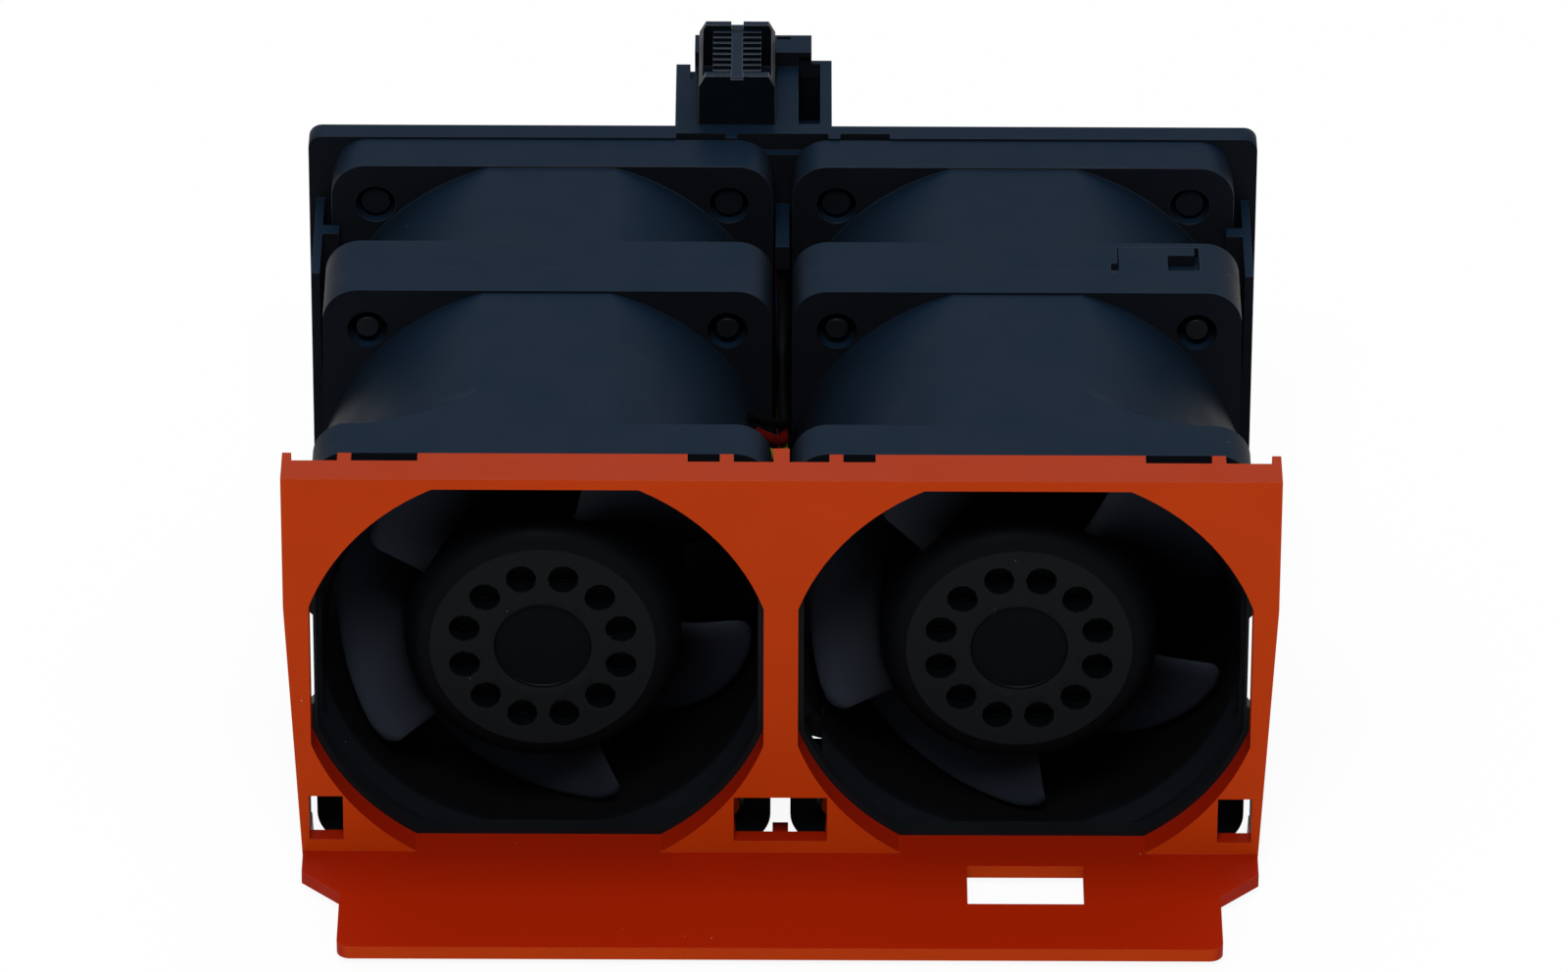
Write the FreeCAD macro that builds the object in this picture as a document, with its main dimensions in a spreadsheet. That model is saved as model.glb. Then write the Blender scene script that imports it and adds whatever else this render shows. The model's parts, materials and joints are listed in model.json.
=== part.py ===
import FreeCAD, Part
import Sketcher
import math
import os
import re
from FreeCAD import Placement, Rotation, Vector

# Two counter-rotating fans held side by side between a front frame with a handle shelf and a rear
# frame that carries the power plug. +Y is the way the air flows and +Z is up. The origin is at the
# middle of the underside. Depths are measured from the front faces of the fans.

doc = FreeCAD.newDocument("ServerFanModule")
sheet = doc.addObject("Spreadsheet::Sheet", "Sizes")

SIZES = {
    # Fan bodies: square flanges and round barrels in two halves.
    "fan_size": 40.0, "fan_depth": 56.0, "fan_gap": 1.74, "rear_half_depth": 23.6,
    "front_flange": 5.1, "mid_flange_front": 4.1, "mid_flange_rear": 4.9, "rear_flange": 5.0,
    "flange_corner": 3.2, "barrel_swell": 0.6, "barrel_step": 0.2, "bore_wall": 1.05,
    "flare_rise": 5.8, "flare_reach": 7.0, "inlet_flare": 1.35, "inlet_depth": 3.0, "inlet_wall": 0.7,
    "hole_margin": 8.0, "hole_radius": 1.8,
    "latch_start": 8.4, "latch_width": 7.9, "latch_drop": 1.1, "latch_reach": 4.1, "latch_gap": 0.6,
    "latch_gap_reach": 1.3, "latch_neck": 4.4, "latch_hook": 2.65, "latch_end_gap": 0.4, "latch_play": 0.1,
    "lead_notch_width": 2.1, "lead_notch_start": 7.2, "lead_notch_length": 5.0,
    # Motor mounts inside the barrels.
    "base_radius": 11.6, "base_thickness": 1.5, "base_inset": 0.4, "base_floor": 0.6,
    "strut_width": 1.8, "strut_height": 2.4, "strut_bite": 0.4, "strut_count": 4, "tube_wall": 0.8,
    # Joining pegs through the middle flanges.
    "peg_clearance": 0.1, "peg_inset": 2.6, "peg_nose_radius": 1.0, "peg_nose": 2.2, "peg_length": 5.4,
    # Rotors.
    "hub_radius": 12.2, "hub_face_radius": 9.96, "hub_shoulder": 2.6, "hub_inset": 0.5,
    "hub_wall": 0.8, "hub_ceiling": 0.4, "hub_recess_radius": 4.25, "hub_recess": 0.5,
    "pocket_count": 12, "pocket_circle": 7.1, "pocket_radius": 1.33, "pocket_depth": 2.2,
    "pocket_angle": 15.0, "right_turn": 129.7, "base_gap": 1.2,
    "tip_gap": 0.65, "blade_root_bite": 0.4, "blade_lead_angle": 220.5, "blade_lean": 1.0,
    "blade_wrap": 70.0, "blade_thickness": 1.7, "blade_tip_thickness": 1.2,
    "front_blade_inset": 2.6, "front_blade_length": 14.1, "front_blade_count": 5,
    "rear_blade_inset": 2.0, "rear_blade_length": 14.0, "rear_blade_count": 3,
    # Motor parts.
    "cup_wall": 0.7, "cup_rim_gap": 0.3, "magnet_thickness": 1.0, "magnet_inset": 1.0, "magnet_overlap": 1.5,
    "shaft_radius": 1.5, "shaft_fit": 0.02, "shaft_end_gap": 0.5, "boss_radius": 3.0, "boss_length": 2.2,
    "bearing_radius": 4.0, "bearing_width": 3.0, "bearing_start": 2.8, "bearing_spread": 3.0,
    "washer_clearance": 0.3, "washer_rise": 0.7, "washer_thickness": 0.25, "washer_inner": 2.4,
    "clip_radius": 2.5, "clip_thickness": 0.4, "clip_groove": 1.2, "clip_gap": 0.2, "clip_mouth": 1.6,
    "core_start": 6.6, "front_core_inset": 22.4, "rear_core_inset": 18.6, "core_ring": 6.4,
    "core_gap": 0.35, "tooth_width": 2.6, "tooth_count": 4, "tooth_bite": 0.3, "tooth_shoe": 1.0,
    "tooth_shoe_width": 6.4,
    "coil_clearance": 0.1, "coil_width": 1.6, "coil_end": 1.2,
    "board_gap": 0.2, "board_thickness": 0.8, "board_clearance": 0.3, "board_margin": 0.4,
    # Front frame.
    "panel_front": 4.5, "panel_thickness": 1.6, "frame_margin": 2.43, "foot_margin": 1.13,
    "taper_height": 7.0, "top_wall": 1.0, "top_wall_depth": 3.2, "side_wall": 0.8,
    "opening_swell": 1.0, "opening_shift": 0.43, "opening_step": 0.2, "opening_lip": 1.0,
    "collar_wall": 1.2, "collar_depth": 2.9, "window_rise": 3.13, "window_height": 4.5,
    "centre_window": 4.1, "side_window_edge": 0.6, "side_window_width": 3.0,
    "rib_width": 1.2, "rib_drop": 4.0, "outer_rib_inset": 2.97, "inner_rib_inset": 3.88,
    "pad_half_width": 11.7, "pad_shift": 1.02, "key_drop": 6.0, "key_clearance": 0.18, "top_key_reach": 1.0,
    "foot_key_reach": 0.45,
    "shelf_rise": 1.96, "shelf_thickness": 1.21, "shelf_reach": 20.0, "shelf_shoulder": 7.9,
    "shelf_neck": 11.4, "shelf_step": 3.45, "shelf_corner": 1.2,
    "slot_left": 16.4, "slot_right": 26.6, "slot_front": 12.74, "slot_back": 6.64,
    "frame_peg_radius": 1.25, "frame_peg_length": 4.4,
    # Rear frame.
    "plate_thickness": 2.3, "plate_margin": 2.23, "plate_rise": 0.2, "plate_corner": 1.2,
    "notch_depth": 0.9, "notch_drop": 1.7, "notch_half": 4.15,
    "side_notch_inner": 5.2, "side_notch_outer": 9.7,
    "fin_width": 1.24, "fin_top": 13.4, "fin_height": 2.3, "fin_reach": 8.0,
    "arm_clearance": 0.8, "arm_thickness": 0.75, "arm_top": 13.9, "arm_bottom": 3.0,
    "arm_hook_bottom": 8.5, "arm_reach": 14.0, "arm_hook": 1.5, "arm_hook_length": 1.6, "arm_hook_gap": 0.15,
    "lead_slot_half": 0.75, "lead_slot_top": 9.9, "lead_slot_bottom": 0.4,
    # Plug deck on the rear frame, and the plug.
    "deck_left": 9.8, "deck_right": 4.45, "deck_thickness": 1.5, "deck_length": 12.4,
    "deck_strip": 11.6, "strip_slot_left": 8.5, "strip_slot_right": 8.05, "strip_slot_length": 2.9,
    "well_left": 1.4, "well_right": 3.4, "well_inset": 0.4, "well_length": 11.4,
    "ledge_left": 8.1, "ledge_right": 2.6, "ledge_rise": 1.5, "ledge_length": 3.3, "ledge_gap": 0.3,
    "groove_left": 0.6, "groove_right": 0.7, "groove_start": 2.5, "groove_width": 0.5, "groove_depth": 0.8,
    "skirt_drop": 6.0, "skirt_wall": 1.0,
    "plug_centre": 4.2, "plug_width": 6.95, "plug_inset": 0.4, "plug_length": 10.5, "plug_fit": 0.15,
    "plug_rise": 4.9, "plug_drop": 3.7, "plug_side_wall": 0.35,
    "plug_end_wall": 0.8, "plug_chamfer": 0.6, "plug_chamfer_height": 1.1, "plug_floor": 0.6,
    "plug_end_notch": 1.1, "plug_end_notch_drop": 0.35,
    "block_width": 4.4, "block_drop": 0.5, "spine_width": 1.0, "slot_pitch": 1.05, "slot_wall": 0.35,
    "contact_thickness": 0.2, "contact_width": 0.5, "contact_drop": 0.6, "contact_rows": 8,
    # Leads from the fans to the plug.
    "lead_radius": 0.475, "lead_sides": 8, "lead_gap": 0.1, "lead_inset": 10.4, "lead_turn": 1.0,
    "lead_drop": 2.0, "lead_bow": 0.3, "lead_settle": 3.0, "lead_top": 9.0, "lead_pitch": 1.1,
    "lead_riser": 2.5, "lead_spread": 1.1, "lead_entry": 2.5,
}

# Sizes that follow from the ones above.
WORKED_OUT = {
    "fan_pitch": "fan_size + fan_gap",
    "parting_depth": "fan_depth - rear_half_depth",
    "front_core_height": "parting_depth - front_core_inset",
    "rear_core_height": "rear_half_depth - rear_core_inset",
    "fan_side": "fan_pitch / 2 + fan_size / 2",
    "hole_spacing": "fan_size - hole_margin",
    "barrel_radius": "fan_size / 2 + barrel_swell",
    "barrel_flat": "fan_size / 2 - barrel_step",
    "bore_radius": "fan_size / 2 - bore_wall",
    "inlet_radius": "bore_radius + inlet_flare",
    "inlet_flat": "fan_size / 2 - inlet_wall",
    "blade_tip": "bore_radius - tip_gap",
    "frame_half_width": "fan_side + frame_margin",
    "frame_foot_half_width": "fan_side + foot_margin",
    "opening_centre": "fan_pitch / 2 + opening_shift",
    "opening_radius": "fan_size / 2 + opening_swell",
    "opening_flat": "fan_size / 2 - opening_step",
    "opening_top": "fan_size / 2 - opening_lip",
    "window_bottom": "fan_size / 2 - window_rise",
    "window_top": "window_bottom - window_height",
    "side_window_outer": "frame_foot_half_width - side_window_edge",
    "side_window_inner": "side_window_outer - side_window_width",
    "outer_rib": "fan_side - outer_rib_inset",
    "inner_rib": "fan_pitch / 2 - fan_size / 2 + inner_rib_inset",
    "pad_centre": "fan_pitch / 2 - pad_shift",
    "shelf_top": "fan_size / 2 - shelf_rise",
    "shelf_half_width": "frame_foot_half_width - shelf_step",
    "plate_half_width": "fan_side + plate_margin",
    "plate_top": "fan_size / 2 + plate_rise",
    "lead_start": "parting_depth - lead_inset",
}

for row, (alias, size) in enumerate((SIZES | WORKED_OUT).items(), start=1):
    sheet.set("A%d" % row, alias.replace("_", " "))
    sheet.set("B%d" % row, "=" + size if alias in WORKED_OUT else str(size))
    sheet.setAlias("B%d" % row, alias)
doc.recompute()

ALIAS = re.compile(r"\b(" + "|".join(sorted(SIZES | WORKED_OUT, key=len, reverse=True)) + r")\b")
SIDES = {"left": -1, "right": 1}
TURNS = {"left": "0", "right": "right_turn"}

# Depth of the rear face of the whole module, and the shift that centres it on the origin.
REAR_END = "(fan_depth + plate_thickness + plug_inset + plug_length + ledge_gap + ledge_length)"
CENTRE_SHIFT = "((shelf_reach - %s) / 2)" % REAR_END


def formula(text):
    """A formula of sheet names as an expression that FreeCAD can evaluate."""
    return ALIAS.sub(r"Sizes.\1", str(text))


def value(text):
    """The number that a formula of sheet names gives."""
    result = sheet.evalExpression(formula(text))
    return float(getattr(result, "Value", result))


def bind(item, **formulas):
    for name, text in formulas.items():
        item.setExpression(name.replace("__", "."), formula(text))


def place(item, x="0", depth="0", height="0", facing=None):
    """Put a finished piece at a depth behind the fans' front faces and a height over their axes."""
    turn = {None: 0, "front": 90, "rear": -90}[facing]
    item.Placement = Placement(Vector(0, 0, 0), Rotation(Vector(1, 0, 0), turn))
    item.setExpression("Placement.Base.x", formula(x))
    item.setExpression("Placement.Base.y", formula("%s + (%s)" % (CENTRE_SHIFT, depth)))
    item.setExpression("Placement.Base.z", formula("fan_size / 2 + (%s)" % height))


# ---- Bodies, sketches and features -------------------------------------------------------------

def new_body(label):
    body = doc.addObject("PartDesign::Body", label)
    body.Label = label
    body.AllowCompound = True
    return body


def origin_item(body, role):
    return [item for item in body.Origin.OriginFeatures if item.Role == role][0]


def new_sketch(body, name, plane="XZ_Plane", offset="0"):
    sketch = body.newObject("Sketcher::SketchObject", name)
    sketch.AttachmentSupport = [(origin_item(body, plane), "")]
    sketch.MapMode = "FlatFace"
    sketch.setExpression("AttachmentOffset.Base.z", formula(offset))
    return sketch


def pin_point(sketch, geometry, position, x, y):
    """Drive one sketch point from the sheet, measured from the sketch's origin."""
    for kind, text in (("DistanceX", x), ("DistanceY", y)):
        rule = Sketcher.Constraint(kind, -1, 1, geometry, position, value(text))
        sketch.setExpression("Constraints[%d]" % sketch.addConstraint(rule), formula(text))


def set_radius(sketch, geometry, radius):
    rule = Sketcher.Constraint("Radius", geometry, value(radius))
    sketch.setExpression("Constraints[%d]" % sketch.addConstraint(rule), formula(radius))


def outline(sketch, points):
    """Close an outline. A point with a centre and radius starts an arc, which runs counter-clockwise."""
    first = sketch.GeometryCount
    spots = [Vector(value(point[0]), value(point[1]), 0) for point in points]
    for index, point in enumerate(points):
        start = spots[index]
        end = spots[(index + 1) % len(points)]
        if len(point) == 2:
            sketch.addGeometry(Part.LineSegment(start, end), False)
            continue
        centre = Vector(value(point[2]), value(point[3]), 0)
        ring = Part.Circle(centre, Vector(0, 0, 1), (start - centre).Length)
        begin = math.atan2(start.y - centre.y, start.x - centre.x)
        finish = math.atan2(end.y - centre.y, end.x - centre.x)
        if finish < begin:
            finish += 2 * math.pi
        sketch.addGeometry(Part.ArcOfCircle(ring, begin, finish), False)
    for index, point in enumerate(points):
        following = first + (index + 1) % len(points)
        sketch.addConstraint(Sketcher.Constraint("Coincident", first + index, 2, following, 1))
        pin_point(sketch, first + index, 1, point[0], point[1])
        if len(point) > 2:
            set_radius(sketch, first + index, point[4])


def rectangle(sketch, left, bottom, right, top):
    outline(sketch, [(left, bottom), (right, bottom), (right, top), (left, top)])


def rounded(sketch, left, bottom, right, top, corner):
    """A rectangle with rounded corners."""
    low, high = "(%s) + %s" % (bottom, corner), "(%s) - %s" % (top, corner)
    near, far = "(%s) + %s" % (left, corner), "(%s) - %s" % (right, corner)
    outline(sketch, [
        (near, bottom), (far, bottom, far, low, corner),
        (right, low), (right, high, far, high, corner),
        (far, top), (near, top, near, high, corner),
        (left, high), (left, low, near, low, corner),
    ])


def circle(sketch, x, y, radius):
    centre = Vector(value(x), value(y), 0)
    index = sketch.addGeometry(Part.Circle(centre, Vector(0, 0, 1), value(radius)), False)
    pin_point(sketch, index, 3, x, y)
    set_radius(sketch, index, radius)


def slab(body, name, depth, length, draw, cut=False):
    """Draw an outline that faces forward and run it back from a depth, as material or as a cut."""
    sketch = new_sketch(body, name + "_outline", "XZ_Plane", "-(%s)" % depth)
    draw(sketch)
    return run_profile(body, name, sketch, length, cut, reverse=not cut)


def layer(body, name, height, thickness, draw, cut=False):
    """Draw an outline seen from above. Material grows up from the height, and a cut goes down."""
    sketch = new_sketch(body, name + "_outline", "XY_Plane", height)
    draw(sketch)
    return run_profile(body, name, sketch, thickness, cut, reverse=False)


def run_profile(body, name, sketch, length, cut, reverse):
    before = 0.0
    if cut:
        doc.recompute()
        before = body.Shape.Volume
    feature = body.newObject("PartDesign::Pocket" if cut else "PartDesign::Pad", name)
    feature.Profile = sketch
    feature.Reversed = reverse
    feature.setExpression("Length", formula(length))
    if cut:
        doc.recompute()
        if not body.Shape.Volume < before - 1e-6:
            raise RuntimeError("%s cuts nothing" % name)
    return feature


def around(body, name, feature, count, axis):
    """Repeat a feature evenly about one of the body's axes."""
    pattern = body.newObject("PartDesign::PolarPattern", name)
    pattern.Originals = [feature]
    pattern.Axis = (origin_item(body, axis), [""])
    pattern.Angle = 360
    pattern.setExpression("Occurrences", formula(count))
    body.Tip = pattern
    return pattern


def round_edges(body, name, radius, chosen):
    """Round the edges of a body that a test on the edge picks out."""
    doc.recompute()
    tip = body.Tip
    names = ["Edge%d" % (number + 1) for number, edge in enumerate(tip.Shape.Edges) if chosen(edge)]
    fillet = body.newObject("PartDesign::Fillet", name)
    fillet.Base = (tip, names)
    fillet.setExpression("Radius", formula(radius))
    return fillet


def turned(body, name, outlines, plane="XZ_Plane", angle=360):
    """Revolve outlines of (radius, height) points about the sketch's upright axis."""
    sketch = new_sketch(body, name + "_outline", plane)
    for points in outlines:
        outline(sketch, points)
    revolution = body.newObject("PartDesign::Revolution", name)
    revolution.Profile = sketch
    revolution.ReferenceAxis = (sketch, ["V_Axis"])
    revolution.Midplane = angle < 360
    revolution.Angle = angle
    return revolution


def ring(inner, outer, bottom, top):
    return [(inner, bottom), (outer, bottom), (outer, top), (inner, top)]


# ---- Places that several pieces share ----------------------------------------------------------
# A motor's own heights are measured from the parting plane of its fan towards its hub face.

STAGES = {
    "front": {"height": "parting_depth", "mid": "mid_flange_front", "end": "front_flange",
              "core": "front_core_height", "blades": "front_blade_count",
              "blade_inset": "front_blade_inset", "blade_length": "front_blade_length"},
    "rear": {"height": "rear_half_depth", "mid": "mid_flange_rear", "end": "rear_flange",
             "core": "rear_core_height", "blades": "rear_blade_count",
             "blade_inset": "rear_blade_inset", "blade_length": "rear_blade_length"},
}
BASE_TOP = "(base_inset + base_thickness)"
HUB_FOOT = "(%s + base_gap)" % BASE_TOP
CUP_FOOT = "(%s + cup_rim_gap)" % HUB_FOOT
CUP_OUTER = "(hub_radius - hub_wall)"
CUP_INNER = "(%s - cup_wall)" % CUP_OUTER
MAGNET_INNER = "(%s - magnet_thickness)" % CUP_INNER
CORE_OUTER = "(%s - core_gap)" % MAGNET_INNER
TUBE_OUTER = "(bearing_radius + tube_wall)"
HALF_FAN = "(fan_size / 2)"
HALF_HOLES = "(hole_spacing / 2)"
SHELF_UNDER = "(shelf_top + shelf_thickness)"
PLATE_BACK = "(fan_depth + plate_thickness)"
PLUG_FRONT = "(%s + plug_inset)" % PLATE_BACK
PLUG_BACK = "(%s + plug_length)" % PLUG_FRONT
DECK_UNDER = "(plate_top - deck_thickness)"
FAN_HOLES = [("%d * %s" % (a, HALF_HOLES), "%d * %s" % (b, HALF_HOLES)) for a in (-1, 1) for b in (-1, 1)]


def ceiling(stage):
    """The inner face of a hub's closed end."""
    return "(%s - hub_inset - hub_shoulder - hub_ceiling)" % STAGES[stage]["height"]


def core_top(stage):
    return "(core_start + %s)" % STAGES[stage]["core"]


def upper_bearing(stage):
    return "(bearing_start + bearing_width + %s + bearing_spread)" % STAGES[stage]["core"]


def tube_top(stage):
    return "(%s + bearing_width)" % upper_bearing(stage)


def seat_motor(item, side, stage):
    place(item, "%d * fan_pitch / 2" % SIDES[side], "parting_depth", facing=stage)


# ---- Fan housings ------------------------------------------------------------------------------

def housing(side, stage):
    """Half of a fan's body: an end flange, a barrel, a middle flange and the motor's mount."""
    sizes = STAGES[stage]
    body = new_body("%s_%s_shell" % (side, stage))

    def depth_of(height, length):
        if stage == "front":
            return "parting_depth - (%s) - (%s)" % (height, length)
        return "parting_depth + (%s)" % height

    def run(name, height, length, draw, cut=False):
        return slab(body, name, depth_of(height, length), length, draw, cut)

    def square(sketch):
        rounded(sketch, "-" + HALF_FAN, "-" + HALF_FAN, HALF_FAN, HALF_FAN, "flange_corner")

    def disc(radius):
        return lambda sketch: circle(sketch, "0", "0", radius)

    def outside(sketch):
        rectangle(sketch, "-fan_size", "-fan_size", "fan_size", "fan_size")
        rounded(sketch, "-barrel_flat", "-barrel_flat", "barrel_flat", "barrel_flat", "flange_corner")

    def corner_holes(sketch):
        for x, y in FAN_HOLES:
            circle(sketch, x, y, "hole_radius")

    def strut(sketch):
        rectangle(sketch, "-strut_width / 2", "base_radius - strut_bite", "strut_width / 2",
                  "bore_radius + strut_bite")

    run("middle_flange", "0", sizes["mid"], square)
    between = "%s - %s - %s" % (sizes["height"], sizes["mid"], sizes["end"])
    run("barrel", sizes["mid"], between, disc("barrel_radius"))
    if stage == "front":
        flare(body, SIDES[side])
    run("barrel_flats", sizes["mid"], between, outside, cut=True)
    run("end_flange", "%s - %s" % (sizes["height"], sizes["end"]), sizes["end"], square)
    run("bore", "-1", "%s + 2" % sizes["height"], disc("bore_radius"), cut=True)
    run("corner_holes", "-1", "%s + 2" % sizes["height"], corner_holes, cut=True)
    run("motor_base", "base_inset", "base_thickness", disc("base_radius"))
    run("bearing_tube", BASE_TOP, "%s - %s" % (tube_top(stage), BASE_TOP), disc(TUBE_OUTER))
    arm = run("strut", "base_inset", "strut_height", strut)
    around(body, "struts", arm, "strut_count", "Y_Axis")
    run("bearing_seat", "base_inset + base_floor", "%s - base_inset - base_floor + 1" % tube_top(stage),
        disc("bearing_radius"), cut=True)
    latch(body, SIDES[side], stage)
    if stage == "front":
        lead_notch(body, SIDES[side])
    label = "%s_%s_housing" % (side, stage)
    if stage == "front":
        finished = inlet(body, label)
    else:
        finished = body
        body.Label = label
    place(finished, "%d * fan_pitch / 2" % SIDES[side])
    return finished


def flare(body, outer):
    """The barrel widens into the front flange on the fan's outer side, in a hollow curve."""
    bend = "((flare_rise ^ 2 + flare_reach ^ 2) / (2 * flare_rise))"
    foot, rim = "(barrel_radius - bore_wall)", "(barrel_radius + flare_rise)"
    centre = "(barrel_radius + %s)" % bend
    back = "(front_flange + flare_reach)"
    if outer > 0:
        points = [("barrel_radius", back, centre, back, bend), (rim, "front_flange"),
                  (foot, "front_flange"), (foot, back)]
    else:
        points = [("-" + rim, "front_flange", "-" + centre, back, bend), ("-barrel_radius", back),
                  ("-" + foot, back), ("-" + foot, "front_flange")]
    turned(body, "flare", [points], "XY_Plane", 180)


def latch(body, facing, stage):
    """The hook of the front half that drops into a notch in the rear half's middle flange."""
    def spot(across, along):
        return "%d * (%s)" % (facing, across), "parting_depth + %s" % along

    start, end = "latch_start", "latch_start + latch_width"
    hook = "latch_start + latch_gap + latch_play"
    neck = "%s + latch_neck" % hook
    tip = "%s - latch_end_gap" % end
    inside = "(0 - mid_flange_front / 2)"
    if stage == "front":
        points = [spot(hook, inside), spot(neck, inside), spot(neck, "latch_hook"), spot(tip, "latch_hook"),
                  spot(tip, "latch_reach - latch_play"), spot(hook, "latch_reach - latch_play")]
        height = HALF_FAN + " - latch_drop + latch_play" if facing > 0 else "-" + HALF_FAN
        layer(body, "latch_hook", height, "latch_drop - latch_play",
              lambda sketch: outline(sketch, points[::facing]))
        return
    step = start + " + latch_gap"
    points = [spot(start, "0"), spot(end, "0"), spot(end, "latch_reach"), spot(step, "latch_reach"),
              spot(step, "latch_gap_reach"), spot(start, "latch_gap_reach")]
    height = HALF_FAN + " + 1" if facing > 0 else "latch_drop - " + HALF_FAN
    layer(body, "latch_notch", height, "latch_drop + 1", lambda sketch: outline(sketch, points[::facing]),
          cut=True)


def lead_notch(body, facing):
    """A slot through the front flange beside the bore, on the fan's inner side."""
    near, far = "(inlet_flat - lead_notch_width)", "inlet_flat"
    low, high = "lead_notch_start", "(lead_notch_start + lead_notch_length)"
    sides = [(near, low), (far, low), (far, high), (near, high)]
    slab(body, "lead_notch", "0 - 1", "front_flange + 2", lambda sketch: outline(
        sketch, [("%d * %s" % (-facing, x), "%d * %s" % (-facing, y)) for x, y in sides]), cut=True)


def inlet(body, label):
    """Flare the mouth of the bore, held inside the flange's four sides."""
    flare = doc.addObject("Part::Cone", label + "_flare")
    bind(flare, Radius1="inlet_radius", Radius2="bore_radius", Height="inlet_depth")
    flare.Placement = Placement(Vector(0, 0, 0), Rotation(Vector(1, 0, 0), -90))
    limit = doc.addObject("Part::Box", label + "_limit")
    bind(limit, Length="2 * inlet_flat", Width="inlet_depth", Height="2 * inlet_flat",
         Placement__Base__x="-inlet_flat", Placement__Base__z="-inlet_flat")
    mouth = doc.addObject("Part::Common", label + "_mouth")
    mouth.Base = flare
    mouth.Tool = limit
    finished = doc.addObject("Part::Cut", label)
    finished.Label = label
    finished.Base = body
    finished.Tool = mouth
    return finished


def joining_pegs(side):
    """Pegs through the middle flanges that hold a fan's two halves together."""
    body = new_body(side + "_joining_pegs")
    start = "parting_depth - mid_flange_front + peg_inset"
    for x, y in FAN_HOLES:
        number = FAN_HOLES.index((x, y)) + 1
        slab(body, "peg_%d" % number, start, "peg_length",
             lambda sketch: circle(sketch, x, y, "hole_radius - peg_clearance"))
        slab(body, "nose_%d" % number, start + " - peg_nose", "peg_nose",
             lambda sketch: circle(sketch, x, y, "peg_nose_radius"))
    place(body, "%d * fan_pitch / 2" % SIDES[side])
    return body


# ---- Rotors ------------------------------------------------------------------------------------

# Along a blade from its leading edge: share of the length, share of the wrap, how far the root and
# the tip draw in from full span, and share of the full thickness.
BLADE_STATIONS = [
    (0.00, 0.00, 0.00, 0.34, 0.40),
    (0.07, 0.08, 0.00, 0.07, 0.75),
    (0.30, 0.34, 0.00, 0.00, 1.00),
    (0.62, 0.66, 0.00, 0.00, 1.00),
    (1.00, 1.00, 0.00, 0.08, 0.45),
]


def blade(body, side, stage):
    """A twisted blade, lofted through radial strips that turn as they go along the axis."""
    sizes = STAGES[stage]
    lead = "(blade_lead_angle + %s)" % TURNS[side]
    span = "(blade_tip - hub_radius + blade_root_bite)"
    sections = []
    for number, (along, turn, root_in, tip_in, thick) in enumerate(BLADE_STATIONS):
        if stage == "front":
            drop = along
            angle = "(%s + blade_wrap * %s)" % (lead, -turn)
        else:
            drop = 1 - along
            angle = "(%s - blade_wrap * %s)" % (lead, turn)
        height = "%s - %s - %s * %s" % (sizes["height"], sizes["blade_inset"], drop, sizes["blade_length"])
        root = "(hub_radius - blade_root_bite + %s * %s)" % (root_in, span)
        tip = "(blade_tip - %s * %s)" % (tip_in, span)
        root_angle = "(%s - blade_lean * (1 - %s))" % (angle, root_in)
        root_half = "(%s * blade_thickness / 2 / %s * 180 / pi)" % (thick, root)
        tip_half = "(%s * blade_tip_thickness / 2 / %s * 180 / pi)" % (thick, tip)
        corners = [(root, "%s - %s" % (root_angle, root_half)), (tip, "%s - %s" % (angle, tip_half)),
                   (tip, "%s + %s" % (angle, tip_half)), (root, "%s + %s" % (root_angle, root_half))]
        sketch = new_sketch(body, "blade_station_%d" % (number + 1), "XY_Plane", height)
        outline(sketch, [("%s * cos(%s)" % (far, turned_to), "%s * sin(%s)" % (far, turned_to))
                         for far, turned_to in corners])
        sections.append(sketch)
    loft = body.newObject("PartDesign::AdditiveLoft", "blade")
    loft.Profile = sections[0]
    loft.Sections = sections[1:]
    loft.Ruled = False
    return loft


def impeller(side, stage):
    """A hub with balancing pockets in its face, and its ring of blades."""
    body = new_body("%s_%s_impeller" % (side, stage))
    face = "(%s - hub_inset)" % STAGES[stage]["height"]
    turned(body, "hub", [[
        ("hub_radius", HUB_FOOT), ("hub_radius", face + " - hub_shoulder"), ("hub_face_radius", face),
        ("hub_recess_radius", face), ("hub_recess_radius", face + " - hub_recess"),
        ("0", face + " - hub_recess"), ("0", ceiling(stage)), (CUP_OUTER, ceiling(stage)),
        (CUP_OUTER, HUB_FOOT),
    ]])
    around(body, "blades", blade(body, side, stage), STAGES[stage]["blades"], "Z_Axis")
    start = "(pocket_angle + %s)" % TURNS[side]
    pocket = layer(body, "balance_pocket", face, "pocket_depth", lambda sketch: circle(
        sketch, "pocket_circle * cos(%s)" % start, "pocket_circle * sin(%s)" % start, "pocket_radius"),
        cut=True)
    around(body, "balance_pockets", pocket, "pocket_count", "Z_Axis")
    seat_motor(body, side, stage)
    return body


def rotor_cup(side, stage):
    """The steel cup inside the hub, with a boss that grips the shaft."""
    body = new_body("%s_%s_rotor_cup" % (side, stage))
    top = ceiling(stage)
    under = "(%s - cup_wall)" % top
    boss_end = "(%s - boss_length)" % under
    turned(body, "cup", [[
        ("shaft_radius", top), ("shaft_radius", boss_end), ("boss_radius", boss_end),
        ("boss_radius", under), (CUP_INNER, under), (CUP_INNER, CUP_FOOT), (CUP_OUTER, CUP_FOOT),
        (CUP_OUTER, top),
    ]])
    seat_motor(body, side, stage)
    return body


def magnet_ring(side, stage):
    body = new_body("%s_%s_magnet_ring" % (side, stage))
    turned(body, "magnet", [ring(MAGNET_INNER, CUP_INNER, CUP_FOOT + " + magnet_inset",
                                 core_top(stage) + " + magnet_overlap")])
    seat_motor(body, side, stage)
    return body


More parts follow.
